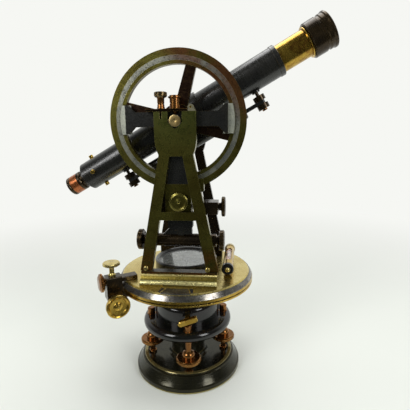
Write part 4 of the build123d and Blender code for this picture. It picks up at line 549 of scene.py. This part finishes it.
def makeSideScrews():
    bm = bmesh.new()
    here = aim(sideFoot, upward)
    rim = sideScrews["wing"]
    verts = lathe(bm, [(0, 111.7), (2.6, 111.7), (2.6, 131.3), (4.0, 131.3), (4.0, 132.6), (3.1, 133.4),
                       (2.6, 134.6), (2.6, 140.2), (3.2, 142.0), (4.6, 142.9), (rim - 0.8, 142.9),
                       (rim - 0.25, 143.4), (rim - 0.25, 145.7), (rim - 0.9, 146.4), (rim - 2.0, 146.5),
                       (3.0, 145.9), (2.2, 146.2), (0, 146.3)], here, 72)
    mill(bm, verts, here, rim - 0.25, 143.5, 145.6, 0.14, 0.24)
    settle(bm, "side_thumbscrew_milled", "paleBrass", "side_thumb", replaced=("side_thumbscrew",))

    bm = bmesh.new()
    here = aim((sideFoot.x, sideFoot.y, 103.95), sideAcross)
    rim = sideScrews["dish"]
    verts = lathe(bm, [(0, -11.0), (2.0, -11.0), (2.6, -10.4), (2.6, 7.35), (4.0, 7.35), (4.0, 14.4),
                       (5.4, 17.0), (rim - 1.2, 17.4), (rim - 0.25, 18.3), (rim - 0.25, 21.8),
                       (rim - 0.8, 22.4), (rim - 1.6, 22.5), (rim - 2.6, 21.9), (rim - 4.0, 20.4),
                       (5.2, 20.2), (4.6, 21.2), (3.8, 21.6), (0, 21.6)],
                  here, 96)
    mill(bm, verts, here, rim - 0.25, 18.4, 21.7, 0.14, 0.24)
    settle(bm, "side_tangent_dish", "brightBrass", "side_tangent", replaced=("side_tangent_screw",))
    bm = bmesh.new()
    slotted(bm, aim(Vector((sideFoot.x, sideFoot.y, 103.95)) + sideAcross * 21.5, sideAcross), 3.0, 1.2,
            0.45, 0.8)
    settle(bm, "side_tangent_centre", "brightBrass", "side_tangent")

    bm = bmesh.new()
    here = aim((0, 0, layout["deckTop"] + 1.0), sideOut)
    rim = sideScrews["ball"]
    verts = lathe(bm, [(0, 91.5), (2.6, 91.5), (2.6, 96.35), (4.2, 96.35), (4.2, 97.2), (rim - 2.4, 97.6),
                       (rim - 0.5, 99.0), (rim - 0.2, 100.4), (rim - 0.5, 101.8), (rim - 2.6, 103.2),
                       (4.4, 103.35), (0, 103.35)], here, 40)
    mill(bm, verts, here, rim - 0.4, 98.2, 102.6, 0.22, 0.35)
    settle(bm, "side_radial_knob", "copperBrass", "side_radial", replaced=("side_radial_screw",))


makeSideScrews()

levelling = {"circle": 44.0, "knob": 14.0, "teeth": 110}


def makeLevellingScrew(name, angle):
    bm = bmesh.new()
    spot = polar(angle, levelling["circle"], 0)
    here = aim(spot, upward)
    rim = levelling["knob"]
    verts = lathe(bm, [(0, 15.45), (2.0, 15.45), (3.0, 16.45), (3.0, 22.6), (4.0, 23.6), (4.6, 25.0),
                       (4.2, 26.6), (3.4, 27.4), (5.0, 28.8), (rim - 1.2, 29.0), (rim - 0.3, 30.0),
                       (rim - 0.3, 33.0), (rim - 1.2, 33.9), (rim - 2.2, 34.0), (8.0, 33.0), (7.2, 33.2),
                       (7.0, 34.6), (7.4, 36.4), (7.0, 38.6), (5.6, 40.6), (4.2, 41.4), (3.6, 42.0),
                       (3.6, 69.1), (2.8, 69.9), (0, 69.9)],
                  here, levelling["teeth"])
    mill(bm, verts, here, rim - 0.3, 30.1, 32.9, 0.16, 0.28)
    settle(bm, f"levelling_knob_{name}", "copperBrass", f"levelling_{name}",
           replaced=(f"levelling_screw_{name}",))


for turn, name in enumerate(("front", "right", "rear", "left")):
    makeLevellingScrew(name, layout["firstScrew"] + 90 * turn)
print("milled screws made")


# Graduations and figures
def tick(bm, matrix, length, width, deep=0.03):
    made = bmesh.ops.create_cube(bm, size=1.0)["verts"]
    bmesh.ops.transform(bm, matrix=matrix @ Matrix.Diagonal((length, width, deep, 1)), verts=made)


circleScale = {"inner": 58.6, "outer": 63.3, "figure": 1.9, "short": 1.2, "half": 1.7, "long": 2.3}


def makeCircleScale():
    bm = bmesh.new()
    face = -layout["circleFace"] - 0.01
    for degree in range(360):
        length = circleScale["long" if degree % 10 == 0 else "half" if degree % 5 == 0 else "short"]
        outward = Vector((cos(radians(degree)), 0, sin(radians(degree))))
        spot = trunnion + outward * (circleScale["inner"] + length / 2) + Vector((0, face, 0))
        tick(bm, aim(spot, toFront, outward), length, 0.14)
    for degree in range(0, 360, 10):
        outward = Vector((cos(radians(degree)), 0, sin(radians(degree))))
        spot = trunnion + outward * (circleScale["outer"] - 1.15) + Vector((0, face, 0))
        shown = min(degree % 180, 180 - degree % 180)
        writing(bm, str(shown), circleScale["figure"], aim(spot, toFront, Vector((0, 1, 0)).cross(outward)))
    settle(bm, "circle_graduations", "blackWax", "telescope", turn=False)


makeCircleScale()

limbScale = {"foot": (78.2, 117.6), "crown": (75.4, 122.4), "figure": 2.0}


def makeLimbScale():
    bm = bmesh.new()
    footRadius, footHeight = limbScale["foot"]
    crownRadius, crownHeight = limbScale["crown"]
    slope = Vector((crownRadius - footRadius, crownHeight - footHeight)).normalized()
    for degree in range(360):
        out = polar(degree, 1, 0)
        uphill = out * slope.x + upward * slope.y
        normal = (out * slope.y - upward * slope.x).normalized()
        length = 2.6 if degree % 10 == 0 else 1.9 if degree % 5 == 0 else 1.3
        crown = out * crownRadius + upward * crownHeight
        tick(bm, aim(crown - uphill * (length / 2 + 0.05) + normal * 0.01, normal, uphill), length, 0.16)
        if degree % 10 == 0:
            spot = crown - uphill * 4.0 + normal * 0.01
            writing(bm, str(degree), limbScale["figure"], aim(spot, normal, uphill.cross(normal) * -1))
    settle(bm, "limb_graduations", "blackWax", "limb", turn=False)


makeLimbScale()

plateScale = {"outer": 73.1, "top": 123.96, "step": 0.8}


def makePlateScales():
    bm = bmesh.new()
    for middle in (-90, 90):
        for count in range(-14, 15):
            angle = middle + count * plateScale["step"]
            out = polar(angle, 1, 0)
            length = 3.4 if count % 5 == 0 else 2.2
            tick(bm, aim(out * (plateScale["outer"] - length / 2) + upward * plateScale["top"], upward, out),
                 length, 0.16)
            if count % 5 == 0:
                spot = out * (plateScale["outer"] - 5.2) + upward * plateScale["top"]
                writing(bm, str(abs(count)), 2.0, aim(spot, upward, upward.cross(out)))
    settle(bm, "plate_vernier_graduations", "blackWax", "alidade", turn=False)

    bm = bmesh.new()
    face = -36.6 - 0.01
    for side in (-1, 1):
        for count in range(-10, 11):
            angle = radians(count * 1.1)
            out = Vector((side * cos(angle), 0, sin(angle)))
            length = 2.8 if count % 5 == 0 else 1.8
            spot = trunnion + out * (58.1 - length / 2) + Vector((0, face, 0))
            tick(bm, aim(spot, toFront, out), length, 0.14)
            if count % 5 == 0:
                spot = trunnion + out * 53.6 + Vector((0, face, 0))
                writing(bm, str(abs(count)), 1.6, aim(spot, toFront, Vector((0, 1, 0)).cross(out) * side))
    settle(bm, "circle_vernier_graduations", "blackWax", "alidade", turn=False)


makePlateScales()

dialScale = {"top": 133.56}


def makeDialScale():
    bm = bmesh.new()
    for degree in range(0, 360, 2):
        out = polar(degree, 1, 0)
        length = 2.0 if degree % 10 == 0 else 1.2
        tick(bm, aim(out * (29.1 + length / 2) + upward * dialScale["top"], upward, out), length, 0.16)
        if degree % 30 == 0:
            spot = out * 32.4 + upward * dialScale["top"]
            writing(bm, str(degree), 2.0, aim(spot, upward, upward.cross(out) * -1))
    settle(bm, "compass_graduations", "blackWax", "alidade", turn=False)


makeDialScale()
print("scales engraved")

# Levels: a glass tube, the spirit in it and its bubble, in the place of the plain rod
levels = {
    "plate_level_vial": {"body": "alidade", "radius": 4.7, "half": 32.0, "bubble": 9.0},
    "telescope_level_vial": {"body": "telescope", "radius": 5.3, "half": 60.0, "bubble": 13.0},
}


def makeVial(node, place, axis, lift):
    made = levels[node]
    here = aim(place, axis)
    outer, half = made["radius"] - 0.05, made["half"]
    bm = bmesh.new()
    lathe(bm, [(0, -half + 0.2), (outer - 1.2, -half + 0.2), (outer - 0.4, -half + 0.6),
               (outer, -half + 1.6), (outer, half - 1.6), (outer - 0.4, half - 0.6),
               (outer - 1.2, half - 0.2), (0, half - 0.2)], here, 40)
    settle(bm, node + "_glass", "vialGlass", made["body"], replaced=(node,))
    bm = bmesh.new()
    inner = outer - 0.9
    lathe(bm, [(0, -half + 2.4), (inner - 1.6, -half + 2.6), (inner, -half + 4.2), (inner, half - 4.2),
               (inner - 1.6, half - 2.6), (0, half - 2.4)], here, 32)
    settle(bm, node + "_spirit", "pinkSpirit", made["body"])
    bm = bmesh.new()
    ball = bmesh.ops.create_uvsphere(bm, u_segments=20, v_segments=12, radius=1.0)["verts"]
    shape = aim(Vector(place) + Vector(lift) * (inner - 0.75), axis) @ Matrix.Diagonal((1.7, 1.7,
                                                                                        made["bubble"], 1))
    bmesh.ops.transform(bm, matrix=shape, verts=ball)
    settle(bm, node + "_bubble", "bubbleLight", made["body"])


makeVial("plate_level_vial", (51.0, 0, 136.45), (0, 1, 0), upward)
makeVial("telescope_level_vial", sightCentre - sightUp * 28.5, sight, sightUp)
print("levels filled")

# Small fittings
legScrews = {"places": (-35.5, 30.5), "height": 140.2, "radius": 2.7, "slotTurn": 35}


def makeLegScrews():
    for side, name in ((-1, "front"), (1, "rear")):
        bm = bmesh.new()
        for x in legScrews["places"]:
            face = aim((x, side * 47.8, legScrews["height"]), (0, side, 0))
            slotted(bm, face @ Matrix.Rotation(radians(legScrews["slotTurn"]), 4, "Z"), legScrews["radius"],
                    2.2, 0.35, 0.8, 1.0)
        settle(bm, f"{name}_leg_screws", "paleBrass", "alidade")


makeLegScrews()

windows = {"inner": 62.0, "outer": 73.4, "edge": 11.3, "shadeWidth": 5.0, "lip": 1.3, "top": 123.95}


def makePlateWindows():    # each vernier lies between two bright curved lips, with painted shade beside it: flat near-black sheets on the deck where the window's recess would be shaded
    lips = bmesh.new()
    shadeSheets = bmesh.new()
    reach = windows["outer"] - windows["inner"]
    for middle in (-90, 90):
        for way in (-1, 1):
            out = polar(middle + way * (windows["edge"] + 2.2), 1, 0)
            spot = out * (windows["inner"] + reach / 2) + upward * windows["top"]
            # painted shade: a flat dark sheet on the deck top in place of the window's shaded recess
            bar(shadeSheets, aim(spot, upward, out), (reach - 1.2, windows["shadeWidth"], 0.12), 0.04)
            for step in (-1, 1):
                lip = polar(middle + way * (windows["edge"] + 2.2 + step * 2.3), 1, 0)
                spot = lip * (windows["inner"] + reach / 2) + upward * windows["top"]
                made = bmesh.ops.create_cone(lips, cap_ends=True, segments=12, radius1=windows["lip"] / 2,
                                             radius2=windows["lip"] / 2, depth=reach)["verts"]
                bend = aim(spot, lip, upward)
                for vert in made:
                    vert.co.y += step * way * 1.2 * (vert.co.z / reach + 0.5) ** 2
                bmesh.ops.transform(lips, matrix=bend, verts=made)
    settle(lips, "plate_window_lips", "paleBrass", "alidade")
    settle(shadeSheets, "plate_window_painted_shade", "paintedShade", "alidade")


makePlateWindows()

trunnionEnd = {"radius": 5.8, "face": 48.4, "thick": 0.6, "centre": 0.9}


def makeTrunnionEnds():    # the pivots' turned end faces, with the lathe centre left in them
    for side, name in ((-1, "front"), (1, "rear")):
        bm = bmesh.new()
        radius, face, thick = trunnionEnd["radius"], trunnionEnd["face"], trunnionEnd["thick"]
        lathe(bm, [(0, face - 0.2), (radius - 0.1, face - 0.2), (radius, face),
                   (radius - 0.3, face + thick - 0.15), (radius - 0.8, face + thick),
                   (trunnionEnd["centre"] + 0.6, face + thick),
                   (trunnionEnd["centre"], face + thick - 0.2), (0.3, face), (0, face)],
              aim(trunnion, (0, side, 0)), 48)
        settle(bm, f"{name}_pivot_end", "pivotBrass", "telescope")


makeTrunnionEnds()

clipSaddle = {"left": -19.5, "right": 12.5, "low": 173.6, "high": 181.0, "cut": 7.5, "thick": 6.4}


def makeClipSaddle():    # the black saddle between the clamp arm's tail and the clip's sleeve
    bm = bmesh.new()
    outline = [(clipSaddle["left"], clipSaddle["low"]), (clipSaddle["right"], clipSaddle["low"]),
               (clipSaddle["right"], clipSaddle["high"]),
               (clipSaddle["left"] + clipSaddle["cut"], clipSaddle["high"])]
    corners = [bm.verts.new((x, clipKnob["y"] - clipSaddle["thick"] / 2, z)) for x, z in outline]
    face = bm.faces.new(corners)
    lifted = bmesh.ops.extrude_face_region(bm, geom=[face])["geom"]
    top = [v for v in lifted if isinstance(v, bmesh.types.BMVert)]
    bmesh.ops.translate(bm, vec=(0, clipSaddle["thick"], 0), verts=top)
    bmesh.ops.bevel(bm, geom=bm.edges[:], offset=0.7, affect="EDGES", segments=2, profile=0.5, material=-1)
    settle(bm, "clip_saddle", "blackLacquer", "alidade")


makeClipSaddle()

armCheek = {"x": (-20.0, -13.0), "y": (-38.5, -34.5), "z": (199.0, 221.5)}


def makeArmCheek():    # the clamp arm is wider than its jaw on the eyepiece side
    bm = bmesh.new()
    sides = [armCheek[axis] for axis in "xyz"]
    middle = [(low + high) / 2 for low, high in sides]
    bar(bm, Matrix.Translation(middle), [high - low for low, high in sides], 0.8)
    settle(bm, "clamp_arm_cheek", "darkBronze", "alidade")


makeArmCheek()

levelCapScrew = {"place": (51.0, -37.0, 136.45), "radius": 2.2}


def makeLevelCapScrew():
    bm = bmesh.new()
    lathe(bm, [(2.9, 0), (2.9, 0.35), (2.3, 0.55), (levelCapScrew["radius"], 0.3), (1.6, 0.9), (0.9, 1.3),
               (0, 1.4)],
          aim(levelCapScrew["place"], toFront), 24)
    settle(bm, "plate_level_cap_screw", "paleBrass", "alidade")


makeLevelCapScrew()


def makeTelescopeRings():
    bm = bmesh.new()
    here = aim(sightCentre, sight)
    for low in (151.2, 153.6):
        lathe(bm, [(14.4, low), (16.1, low), (16.5, low + 0.4), (16.5, low + 0.9), (16.1, low + 1.3),
                   (14.4, low + 1.3), (14.4, low)], here, 72)
    settle(bm, "draw_tube_rings", "brightBrass", "objective")

    bm = bmesh.new()
    for turn in range(4):
        out = sightUp * cos(turn * pi / 2) + Vector((0, 1, 0)) * sin(turn * pi / 2)
        spot = sightCentre - sight * 113.0 + out * 18.6
        slotted(bm, aim(spot, out, sight), 2.4, 0.9, 0.35, 0.5, 0.25)
    settle(bm, "diaphragm_screw_heads", "brightBrass", "telescope")

    bm = bmesh.new()
    for place in (-84.0, 84.0):
        spot = sightCentre + sight * place - sightUp * 36.2
        slotted(bm, aim(spot, -sightUp), 2.8, 1.6, 0.35, 0.6, 0.5)
    settle(bm, "level_stud_heads", "copperBrass", "telescope")


makeTelescopeRings()
print("fittings made")


# Finishes on the solids that stay
def standardZones(tree, place, colour):    # greener at the head, brown at the feet, rubbed bright on the shoe
    deck = layout["deckTop"]
    height = along(tree, place, (0, 0, 1))
    colour = blend(tree, fade(tree, height, 250, 300, 0, 0.6), colour, tone(104, 116, 60))
    low = calc(tree, "MULTIPLY", fade(tree, height, 172, 140),
               fade(tree, grain(tree, place, 60, 4, 0.6), 0.3, 0.6))
    colour = blend(tree, low, colour, tone(128, 84, 36))
    return heightBands(tree, place, colour, (0, 0, 1), [
        (deck - 0.5, deck + 2.6, tone(150, 132, 70)), (deck + 2.6, deck + 5.6, tone(226, 216, 150)),
        (deck + 5.6, deck + 9.4, tone(150, 132, 60)), (deck + 9.4, deck + 10.8, tone(216, 200, 130)),
        (deck + 12.4, deck + 13.3, tone(122, 84, 60)), (deck + 13.3, deck + 13.7, tone(28, 24, 18)),
        (302.0, 330.0, tone(206, 198, 168))])


def circleZones(tree, place, colour):    # reddish patina on the upper right of the circle, dark spokes
    up = along(tree, moved(tree, place, (0, 0, layout["trunnion"])), (0.64, 0, 0.77))
    patch = calc(tree, "MULTIPLY", fade(tree, up, 34, 56),
                 fade(tree, grain(tree, place, 30, 4, 0.6), 0.3, 0.55))
    colour = blend(tree, calc(tree, "MULTIPLY", patch, 0.8), colour, tone(128, 78, 52))
    radius = fromAxis(tree, place, (0, 0, layout["trunnion"]), (0, 1, 0))
    spokes = calc(tree, "MULTIPLY", fade(tree, radius, 55.4, 54.6), fade(tree, radius, 10, 12))
    return blend(tree, spokes, colour, tone(56, 38, 28))


def bandZones(tree, place, colour):
    up = along(tree, moved(tree, place, (0, 0, layout["trunnion"])), (0.64, 0, 0.77))
    patch = calc(tree, "MULTIPLY", fade(tree, up, 34, 54),
                 fade(tree, grain(tree, place, 40, 5, 0.6), 0.35, 0.55))
    return blend(tree, calc(tree, "MULTIPLY", patch, 0.75), colour, tone(134, 92, 68))


def eyeZones(tree, place, colour):
    return heightBands(tree, moved(tree, place, trunnion), colour, sight,
                       [(-148.4, -139.0, tone(176, 104, 60))])


def drawZones(tree, place, colour):    # brown blotches where the lacquer has gone
    blotch = fade(tree, grain(tree, place, 110, 5, 0.7, 1.0), 0.5, 0.62)
    return blend(tree, calc(tree, "MULTIPLY", blotch, 0.75), colour, tone(122, 78, 34))


def footZones(tree, place, colour):    # worn gold lines on the rims of the foot
    return heightBands(tree, place, colour, (0, 0, 1), [(0.9, 2.1, tone(176, 162, 98)),
                                                        (18.6, 19.3, tone(132, 120, 74))])


def capZones(tree, place, colour):    # the strip is nearly black, with a golden end
    strip = heightBands(tree, place, colour, (0, 0, 1), [(301.5, 304.1, tone(34, 26, 18))])
    end = calc(tree, "MULTIPLY", fade(tree, along(tree, place, (1, 0, 0)), -28.6, -29.4),
               fade(tree, along(tree, place, (0, 0, 1)), 305.2, 304.6))
    return blend(tree, end, strip, tone(208, 170, 84))


def levelCapZones(tree, place, colour):    # the far cap is pale cream instead of black
    return blend(tree, fade(tree, along(tree, place, (0, 1, 0)), -2, 2), colour, tone(196, 184, 140))


def limbZones(tree, place, colour):    # dull brown in the groove of the limb's edge
    return heightBands(tree, place, colour, (0, 0, 1), [(113.2, 114.2, tone(74, 58, 30)),
                                                        (110.0, 111.3, tone(120, 98, 48))])


special = {
    "front_bearing_cap": makeFinish("capCopper", finishes["copperBrass"], capZones),
    "rear_bearing_cap": makeFinish("capCopperRear", finishes["copperBrass"], capZones),
    "plate_level_caps": makeFinish("levelCapBlack", finishes["glossBlack"], levelCapZones),
    "front_standard": makeFinish("standardBrass", finishes["oliveBrass"], standardZones),
    "vertical_circle": makeFinish("circleBrass", finishes["oliveBrass"], circleZones,
                                  (trunnion, (0, 1, 0), 2.2)),
    "circle_silver_band": makeFinish("circleSilver", finishes["silver"], bandZones,
                                     (trunnion, (0, 1, 0), 4.0)),
    "eyepiece_tube": makeFinish("eyepieceBronze", finishes["darkBronze"], eyeZones,
                                (sightCentre, sight, 2.0)),
    "draw_tube": makeFinish("drawBrass", finishes["brightBrass"], drawZones, (sightCentre, sight, 1.6)),
    "tripod_plate": makeFinish("footPlate", finishes["footBronze"], footZones, ((0, 0, 0), (0, 0, 1), 1.4)),
    "limb_plate": makeFinish("limbBrass", finishes["brightBrass"], limbZones, ((0, 0, 0), (0, 0, 1), 1.6)),
    "limb_silver_ring": makeFinish("limbSilver", finishes["dullSilver"], None, ((0, 0, 0), (0, 0, 1), 5.0)),
    "vernier_plate": makeFinish("deckBrass", finishes["paleBrass"], None, ((0, 0, 0), (0, 0, 1), 2.4)),
    "objective_cell": makeFinish("cellBronze", finishes["darkBronze"], None, (sightCentre, sight, 2.0)),
    "main_tube": makeFinish("tubeLacquer", finishes["blackLacquer"], None, (sightCentre, sight, 1.6)),
}
byNode = {
    "blackLacquer": ["compass_box", "compass_bezel", "vernier_frame", "clip_tail", "trunnion_axle",
                     "telescope_level_tube"],
    "glossBlack": ["lower_clamp_collar", "upper_parallel_plate"],
    "footBronze": ["ball_retaining_ring"],
    "darkBronze": ["rear_standard", "clip_sleeve", "vertical_tangent_bracket",
                   "side_clamp_arm", "telescope_level_posts"],
    "oliveBrass": ["circle_clamp_block"],
    "copperBrass": ["foot_cups", "screw_bushes"],
    "brightBrass": ["lower_clamp_screw", "outer_axis", "inner_axis", "plate_level_tube", "cap_hinge_pins",
                    "diaphragm", "focus_pinion"],
    "silver": ["compass_dial"],
    "dullSilver": ["plate_verniers"],
    "scaleSilver": ["circle_verniers"],
    "bluedSteel": ["compass_needle"],
    "clearGlass": ["compass_glass", "objective_lens", "eyepiece_lens"],
}
for look, names in byNode.items():
    for name in names:
        special[name] = palette[look]
for name, node in nodes.items():
    material = special.get(name)
    if material is None:
        continue
    if not node.material_slots:
        node.data.materials.append(material)
    for holder in node.material_slots:
        holder.material = material
print("solids finished:", len(special))

# Studio: a pale paper floor, soft lamps, and a dim room on the camera's side
studio = {
    "background": tone(246, 247, 243),
    "floor": tone(228, 231, 224),
    "dimRoom": tone(70, 74, 70),
    "ambient": 0.42,
    "lamps": [
        {"name": "leftBox", "place": (-0.75, -0.95, 0.85), "size": (0.45, 0.7), "power": 8.5},
        {"name": "rightBox", "place": (0.95, -0.8, 0.75), "size": (0.4, 0.7), "power": 6.5},
        {"name": "topBox", "place": (0.1, 0.25, 1.3), "size": (1.0, 0.8), "power": 9.0},
    ],
}


def makeFloor():
    bm = bmesh.new()
    bmesh.ops.create_circle(bm, cap_ends=True, segments=96, radius=12.0)
    mesh = bpy.data.meshes.new("floor")
    bm.to_mesh(mesh)
    bm.free()
    floor = bpy.data.objects.new("floor", mesh)
    bpy.context.scene.collection.objects.link(floor)
    material = bpy.data.materials.new("floorPaper")
    material.use_nodes = True
    tree = material.node_tree
    tree.nodes.clear()
    place = addNode(tree, "ShaderNodeTexCoord").outputs["Object"]
    reach = addNode(tree, "ShaderNodeVectorMath", operation="LENGTH")
    feed(tree, reach.inputs[0], place)
    far = fade(tree, reach.outputs["Value"], 0.2, 1.0)
    rays = addNode(tree, "ShaderNodeLightPath")
    paper = addNode(tree, "ShaderNodeBsdfDiffuse")
    cloudy = blend(tree, grain(tree, place, 3, 3), studio["floor"], tone(222, 226, 220))
    feed(tree, paper.inputs["Color"], cloudy)
    mirrored = calc(tree, "MAXIMUM", rays.outputs["Is Glossy Ray"], rays.outputs["Is Transmission Ray"])
    front = fade(tree, along(tree, place, (0, -1, 0)), 90, 260)    # where the paper ends, before the camera
    room = blend(tree, calc(tree, "MULTIPLY", mirrored, front), studio["background"], studio["dimRoom"])
    glow = addNode(tree, "ShaderNodeEmission")
    feed(tree, glow.inputs["Color"], room)
    seen = calc(tree, "MULTIPLY", rays.outputs["Is Camera Ray"], far)
    mix = addNode(tree, "ShaderNodeMixShader")
    feed(tree, mix.inputs[0], calc(tree, "MAXIMUM", seen, calc(tree, "MULTIPLY", mirrored,
                                                               calc(tree, "MAXIMUM", far, front))))
    feed(tree, mix.inputs[1], paper.outputs[0])
    feed(tree, mix.inputs[2], glow.outputs[0])
    end = addNode(tree, "ShaderNodeOutputMaterial")
    feed(tree, end.inputs["Surface"], mix.outputs[0])
    mesh.materials.append(material)


def makeWorld():
    world = bpy.data.worlds.new("studioWorld")
    bpy.context.scene.world = world
    world.use_nodes = True
    tree = world.node_tree
    tree.nodes.clear()
    rays = addNode(tree, "ShaderNodeLightPath")
    seen = calc(tree, "MAXIMUM", rays.outputs["Is Camera Ray"], rays.outputs["Is Transmission Ray"])
    direction = addNode(tree, "ShaderNodeTexCoord").outputs["Generated"]
    parts = addNode(tree, "ShaderNodeSeparateXYZ")
    feed(tree, parts.inputs[0], direction)
    behind = fade(tree, parts.outputs[1], -0.25, 0.6)
    room = blend(tree, behind, studio["dimRoom"], studio["background"])
    level = studio["ambient"]
    mirrored = blend(tree, rays.outputs["Is Glossy Ray"], (level, level, level * 0.98, 1), room)
    colour = blend(tree, seen, mirrored, studio["background"])
    glow = addNode(tree, "ShaderNodeBackground")
    feed(tree, glow.inputs["Color"], colour)
    glow.inputs["Strength"].default_value = 1.0
    end = addNode(tree, "ShaderNodeOutputWorld")
    feed(tree, end.inputs["Surface"], glow.outputs[0])


def makeLamps():
    for lamp in studio["lamps"]:
        data = bpy.data.lights.new(lamp["name"], "AREA")
        data.shape = "RECTANGLE"
        data.size, data.size_y = lamp["size"]
        data.energy = lamp["power"]
        holder = bpy.data.objects.new(lamp["name"], data)
        bpy.context.scene.collection.objects.link(holder)
        place = Vector(lamp["place"])
        holder.location = place
        holder.rotation_euler = (Vector((0, 0, 0.18)) - place).to_track_quat("-Z", "Y").to_euler()


makeFloor()
makeWorld()
makeLamps()
print("studio lit")
